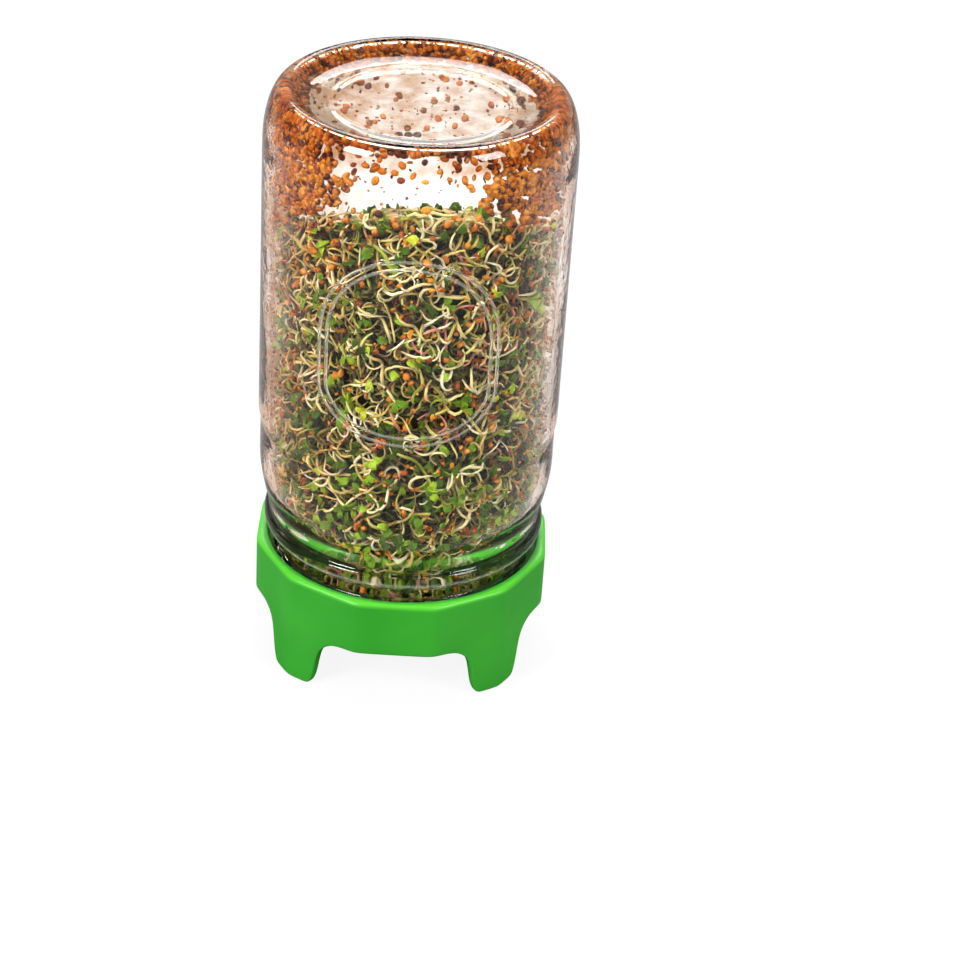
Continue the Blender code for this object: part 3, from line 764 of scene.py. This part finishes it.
def lidOuter(degrees):
    step = 360.0 / lid["sides"]
    off = min(degrees % step, step - degrees % step)
    flat = lidFlat / math.cos(math.radians(off))
    gap = (lid["corner"] - flat) / lid["soften"]
    return lid["corner"] - lid["soften"] * math.log1p(math.exp(gap)) if gap < 30 else flat


def lidAngles():
    offsets = [a for span in lid["columns"] for a in np.arange(*span)]
    angles = {round((foot + way * a) % 360.0, 3) for foot in lid["feet"] for a in offsets for way in (1, -1)}
    return sorted(angles)


# Points of a quarter round in the corner at (r, z), from one place to another. Both are given in
# millimetres from the corner.
def rounded(r, z, first, last, count):
    line = []
    for k in range(count + 1):
        t = k / count
        line.append(tuple(c + mm * ((1 - t)**2 * a + t**2 * b) for c, a, b in zip((r, z), first, last)))
    return line


def lidSection(degrees):
    outer = lidOuter(degrees)
    low = steadyCurve(lid["foot"], footOffset(degrees)) * mm
    inner, start = outer - lid["footWall"], low + 0.6 * mm
    under, top, hole, bore = lid["floorUnder"], lid["floorTop"], lid["hole"], lid["bore"]
    outline = rounded(outer, lidRim, (-1.5, 0.0), (0.0, -1.7), 5) + [(outer, lidRim - 3 * mm)]
    outline += [(outer, lidRim + (low + 1.0 * mm - lidRim) * t) for t in (0.2, 0.4, 0.6, 0.8, 0.92)]
    outline += rounded(outer, low, (0.0, 0.9), (-0.9, 0.0), 4)
    outline += rounded(inner, low, (0.6, 0.0), (0.0, 0.6), 3)
    outline += [(inner - 0.3 * mm * t, start + (under - start) * t) for t in (0.3, 0.6, 0.9)]
    outline += rounded(inner - 0.35 * mm, under, (0.05, -0.04), (-0.45, 0.0), 2)
    outline += above(under, [
        (43.4, 0.0), (43.1, 0.0), (42.9, 0.35), (42.5, 0.35), (42.3, 0.0), (42.0, -0.12), (41.0, -0.12)])
    outline += rounded(hole, under, (0.4, -0.1), (0.0, 0.4), 2)
    outline += [(hole, top - 0.2 * mm), (hole + 0.2 * mm, top)]
    outline += rounded(bore, top, (-1.2, 0.0), (0.0, 1.2), 3)
    for z in np.arange(*lid["threadRows"]):
        outline.append((bore - lid["thread"] * threadHeight(degrees, z, 0.5), float(z)))
    return outline + rounded(bore + 0.1 * mm, lidRim, (0.0, -0.9), (0.8, 0.0), 3)


def makeLid():
    made = swept("strainerLid", lidAngles(), lidSection, plasticFinish, True, lid["smooth"])
    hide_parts("strainer_lid")
    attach(made, "root")


# The ring that the screen is moulded into
ring = {"sides": 160, "lipInner": 37.9 * mm, "slot": 39.2 * mm, "gap": 0.3 * mm}


def ringSection(degrees):
    gap, slot, lipInner = ring["gap"], ring["slot"], ring["lipInner"]
    slotLow, slotHigh = screenLow.z - gap, screenTop + gap
    lipOuter, seat = lid["hole"] - gap, lid["floorTop"] + gap
    foot, flange, top = ringLow.z, ringHigh.x, ringHigh.z
    outline = [(lipInner, slotHigh)] + rounded(lipInner, top, (0.0, -0.7), (0.7, 0.0), 4)
    outline += rounded(flange, top, (-0.4, 0.0), (0.0, -0.4), 3) + [(flange, seat), (lipOuter, seat)]
    outline += rounded(lipOuter, foot, (0.0, 1.0), (-1.0, 0.0), 5)
    outline += rounded(lipInner, foot, (1.0, 0.0), (0.0, 1.0), 5)
    return outline + [(lipInner, slotLow), (slot, slotLow), (slot, slotHigh)]


def makeRing():
    made = swept("meshRing", evenAngles(ring["sides"]), ringSection, plasticFinish, True, lid["smooth"])
    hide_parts("mesh_ring")
    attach(made, "root")


# The woven wire screen
wire = {"pitch": 1.65 * mm, "thick": 0.42 * mm, "radius": 38.9 * mm, "perWave": 5, "sides": 4}


def makeScreen():
    recipe = Recipe("wovenWire")
    pitch = recipe.given("Pitch", "Float", wire["pitch"])
    thick = recipe.given("Wire thickness", "Float", wire["thick"])
    radius = recipe.given("Screen radius", "Float", wire["radius"])
    count = recipe.given("Wires each way", "Int", 2 * int(wire["radius"] / wire["pitch"]) + 1)
    stops = recipe.given("Points on a wire", "Int", int(wire["radius"] / wire["pitch"] * wire["perWave"]))
    level = recipe.given("Height", "Float", (screenLow.z + screenTop) / 2)
    line = recipe.add("GeometryNodeCurvePrimitiveLine", None, {
        "Start": recipe.vector(0.0 - radius), "End": recipe.vector(radius)})
    line = recipe.add("GeometryNodeResampleCurve", None, {"Curve": line, "Count": stops})
    half = recipe.maths("FLOOR", count / 2.0)
    first, step = recipe.vector(y=0.0 - half * pitch), recipe.vector(y=pitch)
    rows = recipe.add("GeometryNodeMeshLine", None, {"Count": count, "Start Location": first, "Offset": step})
    rows = recipe.add("GeometryNodeInstanceOnPoints", None, {"Points": rows, "Instance": line})
    rows = recipe.add("GeometryNodeRealizeInstances", None, {"Geometry": rows})
    place = recipe.add("GeometryNodeInputPosition")
    x, y = [recipe.add("ShaderNodeSeparateXYZ", None, {0: place}, out=axis) for axis in range(2)]
    index = recipe.maths("ROUND", y / pitch)
    wave = recipe.maths("COSINE", (x / pitch + index) * math.pi)
    rise = recipe.vector(z=wave * thick * 0.5)
    rows = recipe.add("GeometryNodeSetPosition", None, {"Geometry": rows, "Offset": rise})
    far = recipe.add("ShaderNodeVectorMath", {"operation": "LENGTH"}, {0: place}, out=1)
    outside = recipe.add("FunctionNodeCompare", {"operation": "GREATER_THAN"}, {0: far, 1: radius})
    cut = {"Geometry": rows, "Selection": outside}
    rows = recipe.add("GeometryNodeDeleteGeometry", {"domain": "POINT"}, cut)
    warp = recipe.tube(rows, wire["sides"], thick / 2.0, {"Fill Caps": True})
    flip = {"Rotation": (0.0, math.pi, math.pi / 2)}
    weft = recipe.add("GeometryNodeTransform", None, {"Geometry": warp, **flip})
    both = recipe.add("GeometryNodeJoinGeometry")
    for part in (warp, weft):
        recipe.tree.links.new(part.socket, both.socket.node.inputs[0])
    lift = {"Translation": recipe.vector(z=level)}
    both = recipe.add("GeometryNodeTransform", None, {"Geometry": both, **lift})
    recipe.finish(both, steelFinish)
    made = recipe.bake("meshScreen", linked("wireCarrier", bpy.data.meshes.new("wireCarrier")))
    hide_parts("mesh_screen")
    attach(made, "root")


print("lid")
makeLid()
makeRing()
makeScreen()

# The heap of sprouts
def massRadius(z):
    t = max(0.0, min(1.0, (z - heap["neckTop"]) / (heap["shoulderTop"] - heap["neckTop"])))
    return heap["neck"] + (heap["radius"] - heap["neck"]) * t


def heapTop(x, y):
    across = x / heap["radius"]
    return heap["top"] - heap["slope"] * y / heap["radius"] + heap["side"] * (across - abs(across))


# The heap's height at its rim
def heapEdge(turn):
    return heapTop(heap["radius"] * math.cos(turn), heap["radius"] * math.sin(turn))


# Turns a place on the heap's skin into a point: the side by arc and height, the top by x and y
def onSide(u, v, depth):
    turn = u / heap["radius"]
    r = massRadius(v) - depth
    return (r * math.cos(turn), r * math.sin(turn), v)


def onTop(u, v, depth):
    return (u, v, heapTop(u, v) - depth)


stems = {
    "outer": 1500, "inner": 1080, "top": 300,
    "thick": 0.5 * mm, "step": 1.5 * mm, "thicks": (0.6, 1.15),
    "shortest": 9 * mm, "longest": 23 * mm,
    "kinds": (                   # share of stems up to here, tightest and widest bend, drift of the bend
        (0.30, 2.2 * mm, 3.6 * mm, 40.0), (0.75, 4.0 * mm, 8.0 * mm, 70.0), (1.0, 12 * mm, 30 * mm, 50.0)),
    "sharpest": 480.0,           # the most that a stem bends, in radians a metre
    "bob": (0.6 * mm, 2.2 * mm), "beat": (7 * mm, 17 * mm), "least": 0.3 * mm,
    "outerDepths": (0.8 * mm, 2.3 * mm), "innerDepths": (2.5 * mm, 4.6 * mm),
    "topDepths": (-0.4 * mm, 1.8 * mm),
}


# A stem's path: it wanders over the skin with a bend that changes, and bobs in and out
def stemPath(draw, skin, u, v, depth):
    kind = draw.random()
    tight, wide, drift = next(rest for upTo, *rest in stems["kinds"] if kind < upTo)
    bend = (-1, 1)[draw.integers(2)] / draw.uniform(tight, wide)
    heading = draw.uniform(0, tau)
    length = draw.uniform(stems["shortest"], stems["longest"])
    phase, beat = draw.uniform(0, tau), tau / draw.uniform(*stems["beat"])
    bob = draw.uniform(*stems["bob"])
    low = heap["foot"] + 0.8 * mm
    points = []
    for i in range(int(length / stems["step"]) + 1):
        s = i * stems["step"]
        if skin is onSide:
            high = heapEdge(u / heap["radius"]) + 1.0 * mm
            if v < low or v > high:
                heading = -heading
                v = min(max(v, low), high)
        elif math.hypot(u, v) > heap["radius"] - 2.0 * mm:
            heading = math.atan2(-v, -u) + draw.uniform(-0.7, 0.7)
        points.append(skin(u, v, max(stems["least"], depth + bob * math.sin(phase + beat * s))))
        bend += draw.normal(0.0, drift)
        bend = max(-stems["sharpest"], min(stems["sharpest"], bend))
        heading += bend * stems["step"]
        u += stems["step"] * math.cos(heading)
        v += stems["step"] * math.sin(heading)
    return points


# A stem is thinner at its first end, and tapers to half over its second half
def stemCurves(name, paths):
    data = bpy.data.curves.new(name, "CURVE")
    data.dimensions = "3D"
    for path, thick in paths:
        spline = data.splines.new("POLY")
        spline.points.add(len(path) - 1)
        for i, place in enumerate(path):
            t = i / (len(path) - 1)
            taper = (1.0 - 0.5 * max(0.0, (t - 0.45) / 0.55)) * (0.75 + 0.25 * min(1.0, 6 * t))
            spline.points[i].co = (*place, 1.0)
            spline.points[i].radius = thick * taper
    return linked(name, data)


def stemPiece(name, paths, sides, seed, tones=(0.0, 1.0)):
    recipe = Recipe(name + "Tubes")
    thick = recipe.given("Thickness", "Float", stems["thick"])
    around = recipe.given("Sides", "Int", sides)
    draw = recipe.given("Seed", "Int", seed)
    span = {2: tones[0], 3: tones[1], "Seed": draw}
    tone = recipe.add("FunctionNodeRandomValue", {"data_type": "FLOAT"}, span, out=1)
    curve = recipe.stored(recipe.geometry(), "CURVE", "tone", tone)
    curve = recipe.stored(curve, "POINT", "along", recipe.add("GeometryNodeSplineParameter", out=0))
    caps = {"Scale": recipe.add("GeometryNodeInputRadius"), "Fill Caps": True}
    recipe.finish(recipe.tube(curve, around, thick, caps), stemFinish)
    made = recipe.bake(name, stemCurves(name + "Lines", paths))
    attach(made, "root")
    return made


# A seed leaf: a domed blade with a fold along the middle and a notch at its tip
def leafShape(name, length, width, notch, thick):
    rows = [(0.0, 0.12), (0.22, 0.34), (0.55, 0.5), (0.84, 0.43), (1.0, 0.2)]
    points, faces = [], []
    for side in (1, -1):
        for i, (t, w) in enumerate(rows):
            tip = notch * max(0.0, (t - 0.6) / 0.4)
            rim = 0.0 if i in (0, len(rows) - 1) else 1.0
            for a in (-1.0, 0.0, 1.0):
                lift = 0.34 * abs(a) * w - 0.6 * (t - 0.5)**2
                z = lift * length + side * thick * (0.5 if a == 0.0 and rim else 0.2)
                points.append(((t - (tip if a == 0.0 else 0.0)) * length, a * w * width, z))
    count = len(rows) * 3
    for i in range(len(rows) - 1):
        for a in range(2):
            p = i * 3 + a
            faces.append((p, p + 3, p + 4, p + 1))
            faces.append((count + p + 1, count + p + 4, count + p + 3, count + p))
    rim = [0, 1, 2] + [3 * i + 2 for i in range(1, len(rows))]
    rim += [3 * (len(rows) - 1) + 1] + [3 * i for i in range(len(rows) - 1, 0, -1)]
    for here, there in zip(rim, rim[1:] + rim[:1]):
        faces.append((here, there, count + there, count + here))
    made = meshObject(name, points, faces, leafFinish, 80.0)
    fixNormals(made.data)
    return made


# A seed: a slightly flattened ball with a dent at its scar
def seedShape(name, around, rows, dent=0.1):
    builder = bmesh.new()
    bmesh.ops.create_uvsphere(builder, u_segments=around, v_segments=rows, radius=0.5)
    for vert in builder.verts:
        x, y, z = vert.co
        near = max(0.0, 1.0 - math.hypot(x - 0.5, z) / 0.45)
        vert.co = Vector((x - dent * near, y, z * (1.0 + 0.08 * x)))
    mesh = bpy.data.meshes.new(name)
    builder.to_mesh(mesh)
    builder.free()
    mesh.materials.append(seedFinish)
    return linked(name, mesh)


# A split hull: half a shell, open like a cup
def hullShape(name, wall):
    outline = [(0.0, -0.5), (0.3, -0.42), (0.47, -0.16), (0.44, 0.12)]
    inside = [(max(0.0, r - wall), z + wall * 0.7) for r, z in reversed(outline)]
    made = swept(name, evenAngles(7), lambda degrees: outline + inside, seedFinish, False)
    fixNormals(made.data)
    return made


# Sets one shape down at many places, each with its own turn, size and tone
def scattered(name, shape, places, material):
    mesh = bpy.data.meshes.new(name + "Places")
    mesh.from_pydata([tuple(p["at"]) for p in places], [], [])
    vectors = ("FLOAT_VECTOR", "vector")
    for key, kind, field in (("turn", *vectors), ("size", *vectors), ("tone", "FLOAT", "value")):
        layer = mesh.attributes.new(key, kind, "POINT")
        layer.data.foreach_set(field, np.array([p[key] for p in places], float).ravel())
    recipe = Recipe(name + "Scatter")
    template = recipe.given("Shape", "Object", shape)
    scale = recipe.given("Overall size", "Float", 1.0)
    body = recipe.add("GeometryNodeObjectInfo", None, {"Object": template}, out="Geometry")
    turn, size = [
        recipe.add("GeometryNodeInputNamedAttribute", {"data_type": "FLOAT_VECTOR"}, {"Name": key})
        for key in ("turn", "size")]
    size = recipe.add("ShaderNodeVectorMath", {"operation": "SCALE"}, {0: size, "Scale": scale})
    turn = recipe.add("FunctionNodeEulerToRotation", None, {0: turn})
    spread = recipe.add("GeometryNodeInstanceOnPoints", None, {
        "Points": recipe.geometry(), "Instance": body, "Rotation": turn, "Scale": size})
    recipe.finish(spread, material)
    made = recipe.bake(name, linked(name + "Places", mesh))
    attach(made, "root")
    return made


def turnFrom(along, normal):
    along = Vector(along).normalized()
    across = Vector(normal).cross(along).normalized()
    up = along.cross(across)
    return Matrix((along, across, up)).transposed().to_euler()


leaves = {"single": 1500, "onTop": 0.05, "low": 1.8, "depths": (0.8 * mm, 3.6 * mm), "pairShare": 0.38,
          "length": 4.5 * mm}
seeds = {"inHeap": 1250, "hulls": 260, "onTop": 0.2, "low": 0.62, "depths": (0.6 * mm, 3.0 * mm),
         "size": 2.9 * mm}


# A random place on the heap's side
def sidePlace(draw, power=1.0):
    turn = draw.uniform(0.0, tau)
    bottom = heap["foot"] + 1.5 * mm
    return turn * heap["radius"], bottom + (heapEdge(turn) - bottom) * draw.random()**power


# A random place on the heap's slanting top
def topPlace(draw):
    turn, r = draw.uniform(0.0, tau), (heap["radius"] - 1.5 * mm) * math.sqrt(draw.random())
    return r * math.cos(turn), r * math.sin(turn)


# A place on the top, with the share that such things have there, or else on the side, where a
# power over 1 crowds them towards the foot. The skin that it lies on comes first.
def anyPlace(draw, kind):
    if draw.random() < kind["onTop"]:
        return onTop, *topPlace(draw)
    return onSide, *sidePlace(draw, kind["low"])


def stemPaths(draw, count, skin, place, depths):
    paths = []
    for i in range(count):
        u, v = place(draw)
        path = stemPath(draw, skin, u, v, draw.uniform(*depths))
        paths.append((path, draw.uniform(*stems["thicks"])))
    return paths


def makeStems():
    draw = default_rng(heap["seed"])
    outer = stemPaths(draw, stems["outer"], onSide, sidePlace, stems["outerDepths"])
    inner = stemPaths(draw, stems["inner"], onSide, sidePlace, stems["innerDepths"])
    top = stemPaths(draw, stems["top"], onTop, topPlace, stems["topDepths"])
    stemPiece("outerStems", outer, 5, 1, (0.0, 0.97))
    # Inner stems take tones from the darker part of the range, as painted shade under the outer ones
    stemPiece("innerStems", inner, 4, 2, (0.4, 0.95))
    stemPiece("topStems", top, 5, 3)
    return outer + top


# The heap's depth, a lumpy body well under the stems, painted dark as shade
core = {"depth": 4.4 * mm, "lump": 1.6 * mm, "lumpSize": 6.5 * mm, "sides": 96, "rows": 74, "rings": 9}


def makeCore():
    low = heap["foot"]

    def lumpy(x, y, z):
        swell = noise.noise(Vector((x, y, z)) / core["lumpSize"])
        ripple = noise.noise(Vector((x, y, z)) * 2.3 / core["lumpSize"])
        return core["lump"] * (swell + 0.5 * ripple)

    def section(degrees):
        turn = math.radians(degrees)
        outline = []
        reach = heap["radius"] - core["depth"]
        for i in range(core["rings"]):
            r = reach * i / core["rings"]
            x, y = r * math.cos(turn), r * math.sin(turn)
            z = heapTop(x, y) - 0.75 * core["depth"]
            outline.append((r, z + lumpy(x, y, z)))
        edge = heapTop(reach * math.cos(turn), reach * math.sin(turn)) - 0.9 * core["depth"]
        for i in range(core["rows"] + 1):
            z = edge + (low - edge) * i / core["rows"]
            r = massRadius(z) - core["depth"]
            swell = lumpy(r * math.cos(turn), r * math.sin(turn), z) if 0 < i < core["rows"] else 0.0
            outline.append((r + swell, z))
        outline.append((0.0, low))
        return outline

    made = swept("heapCore", evenAngles(core["sides"]), section, depthFinish, False, 60.0)
    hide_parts("sprout_mass")
    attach(made, "root")


# One thing lying on the heap: where, which way its length runs, and how far it tips
def layOn(draw, skin, u, v, depth, tip, size, tone):
    at = Vector(skin(u, v, depth))
    outward = Vector((at.x, at.y, 0.0)).normalized() if skin is onSide else Vector((0.0, 0.0, 1.0))
    side = Vector((-outward.y, outward.x, 0.0)) if skin is onSide else Vector((1.0, 0.0, 0.0))
    rise = outward.cross(side)
    turn = draw.uniform(0.0, tau)
    along = side * math.cos(turn) + rise * math.sin(turn) + outward * draw.uniform(-0.15, tip)
    lean = outward + side * draw.uniform(-tip, tip) + rise * draw.uniform(-tip, tip)
    return {"at": at, "turn": turnFrom(along, lean), "size": size, "tone": tone}


# Leaves on their own, and pairs at the first ends of some stems
def leafPlaces(draw, paths):
    places = []
    for i in range(leaves["single"]):
        skin, u, v = anyPlace(draw, leaves)
        long = leaves["length"] * draw.uniform(0.75, 1.15)
        size = (long, long * draw.uniform(0.38, 0.72), long * draw.uniform(0.6, 1.3))
        depth, tone = draw.uniform(*leaves["depths"]), draw.random()**1.15
        places.append(layOn(draw, skin, u, v, depth, 0.7, size, tone))
    for path, thick in paths:
        low = (path[0][2] - heap["foot"]) / (heap["top"] - heap["foot"])
        if draw.random() > leaves["pairShare"] * (1.35 - low):
            continue
        start, after = Vector(path[0]), Vector(path[1])
        way = (start - after).normalized()
        outward = Vector((start.x, start.y, 0.0)).normalized()
        tone = draw.random()
        long = leaves["length"] * draw.uniform(0.7, 1.05)
        size = (long, long * draw.uniform(0.42, 0.72), long * draw.uniform(0.6, 1.3))
        across = way.cross(outward).normalized()
        for side in (1, -1):
            along = way * draw.uniform(0.5, 1.0) + across * side * draw.uniform(0.4, 1.0)
            lean = outward + across * side * draw.uniform(-0.5, 0.5) + way * draw.uniform(-0.4, 0.4)
            places.append({"at": start, "turn": turnFrom(along, lean), "size": size, "tone": tone})
    return places


def seedPlaces(draw, count, flat):
    places = []
    for i in range(count):
        skin, u, v = anyPlace(draw, seeds)
        wide = seeds["size"] * draw.uniform(0.62, 1.15)
        size = (wide, wide * draw.uniform(0.6, 0.85), wide * flat * 0.85)
        depth, tone = draw.uniform(*seeds["depths"]), draw.random()**1.3
        places.append(layOn(draw, skin, u, v, depth, 0.9, size, tone))
    return places


# Seeds stuck to the wet glass: packed in the base's corner and at the upper left and right
cling = {
    "seeds": 2900, "size": 3.1 * mm, "gap": -0.14 * mm, "low": 146 * mm,
    "window": 268.0, "windowReach": 33.0,    # azimuth and reach of the clear stretch at the front
    "patches": ((216.0, 30.0, 163 * mm), (322.0, 32.0, 166 * mm)),   # azimuth, reach, lower edge
    "flat": 35.5 * mm, "onFlat": 0.013,      # radius of the base's flat, and the share of seeds there
    "band": jarTop - 11 * mm,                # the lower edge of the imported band
    "cornerFrom": 43.2 * mm, "cornerCleared": 0.86, "bandCleared": 0.8,
    "specks": 3300, "speck": 1.45 * mm, "specksLow": 52 * mm,
    "row": ((-3.6, 20.5), (-6.3, 20.9), (-0.9, 20.0)),   # three dark seeds side by side on the base
    "rowHeight": jarTop - 8.0 * mm, "rowTone": 0.98,
}


# How likely a seed is to stick at this place on the inside of the glass
def seedShare(degrees, r, z):
    if r < cling["flat"]:
        return cling["onFlat"]
    if z > cling["band"]:
        off = abs(bearing(degrees, cling["window"]))
        clear = max(0.0, min(1.0, (cling["windowReach"] + 8.0 - off) / 14.0))
        return 1.0 - clear * cling["cornerCleared" if r > cling["cornerFrom"] else "bandCleared"]
    share = 0.015 if z < 170 * mm else 0.04
    for middle, reach, low in cling["patches"]:
        away = bearing(degrees, middle)
        edge = low + 16 * mm * (away / reach)**2
        if abs(away) < 1.35 * reach and z > edge:
            share = max(share, min(1.0, (z - edge) / (6 * mm)))
    return share


# Tiny fragments of seed coat all over the wall, more at its left and right
def speckShare(degrees, r, z):
    if r < 43.5 * mm:
        return 0.12
    if z > 172 * mm and abs(bearing(degrees, cling["window"])) < cling["windowReach"]:
        return 0.04
    return 0.12 + 0.88 * abs(math.cos(math.radians(degrees)))**5


# Places on the inside of the glass, drawn by their share
def onGlass(draw, count, share, size, flat, low, toneBend):
    throat, dome = jarInside()[1:]
    line = [tuple(p) for p in throat + dome if p[1] >= low or p[0] < 36 * mm]
    line = [(line[0][0], low)] + line
    spans = [math.dist(a, b) for a, b in zip(line, line[1:])]
    reach = np.concatenate([[0.0], np.cumsum(spans)])
    places = []
    while len(places) < count:
        s, degrees = draw.uniform(0.0, float(reach[-1])), draw.uniform(0.0, 360.0)
        i = min(int(np.searchsorted(reach, s, side="right")) - 1, len(spans) - 1)
        t = (s - reach[i]) / spans[i]
        r, z = (a + (b - a) * t for a, b in zip(line[i], line[i + 1]))
        if draw.random() > share(degrees, r, z) * r / (46 * mm):
            continue
        run = ((line[i + 1][0] - line[i][0]) / spans[i], (line[i + 1][1] - line[i][1]) / spans[i])
        long = size * draw.uniform(0.72, 1.12)
        across = long * draw.uniform(0.55, 0.8)
        thick = long * flat * draw.uniform(0.85, 1.15)
        sink = 0.5 * thick + cling["gap"]
        turn = math.radians(degrees)
        out = Vector((math.cos(turn), math.sin(turn), 0.0))
        normal = out * run[1] - Vector((0.0, 0.0, run[0]))
        at = out * (r - sink * run[1]) + Vector((0.0, 0.0, z + sink * run[0]))
        spin = draw.uniform(0.0, tau)
        side = Vector((-out.y, out.x, 0.0))
        along = side * math.cos(spin) + side.cross(normal) * math.sin(spin)
        places.append({
            "at": at, "turn": turnFrom(along, normal), "size": (long, across, thick),
            "tone": draw.random()**toneBend})
    return places


def clingPlaces(draw):
    places = onGlass(draw, cling["seeds"], seedShare, cling["size"], 0.68, cling["low"], 1.15)
    for x, y in cling["row"]:
        at = Vector((x * mm, -y * mm, cling["rowHeight"]))
        size = (cling["size"], cling["size"], 1.8 * mm)
        places.append({"at": at, "turn": (0.0, 0.0, x), "size": size, "tone": cling["rowTone"]})
    return places


print("heap")
makeCore()
stemLines = makeStems()
leafTemplate = leafShape("leafTemplate", 1.0, 1.0, 0.1, 0.14)
seedTemplate = seedShape("seedTemplate", 7, 4)
speckTemplate = seedShape("speckTemplate", 5, 3)
hullTemplate = hullShape("hullTemplate", 0.07)
leafDraw, seedDraw, clingDraw = default_rng(21), default_rng(31), default_rng(41)
scattered("seedLeaves", leafTemplate, leafPlaces(leafDraw, stemLines), leafFinish)
scattered("heapSeeds", seedTemplate, seedPlaces(seedDraw, seeds["inHeap"], 0.62), seedFinish)
scattered("seedHulls", hullTemplate, seedPlaces(seedDraw, seeds["hulls"], 1.0), seedFinish)
print("clinging seeds")
clinging = scattered("clingingSeeds", seedTemplate, clingPlaces(clingDraw), seedFinish)
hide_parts("clinging_seeds")
specks = onGlass(default_rng(51), cling["specks"], speckShare, cling["speck"], 0.45, cling["specksLow"], 0.8)
scattered("glassSpecks", speckTemplate, specks, seedFinish)
for template in (leafTemplate, seedTemplate, speckTemplate, hullTemplate):
    bpy.data.objects.remove(template)
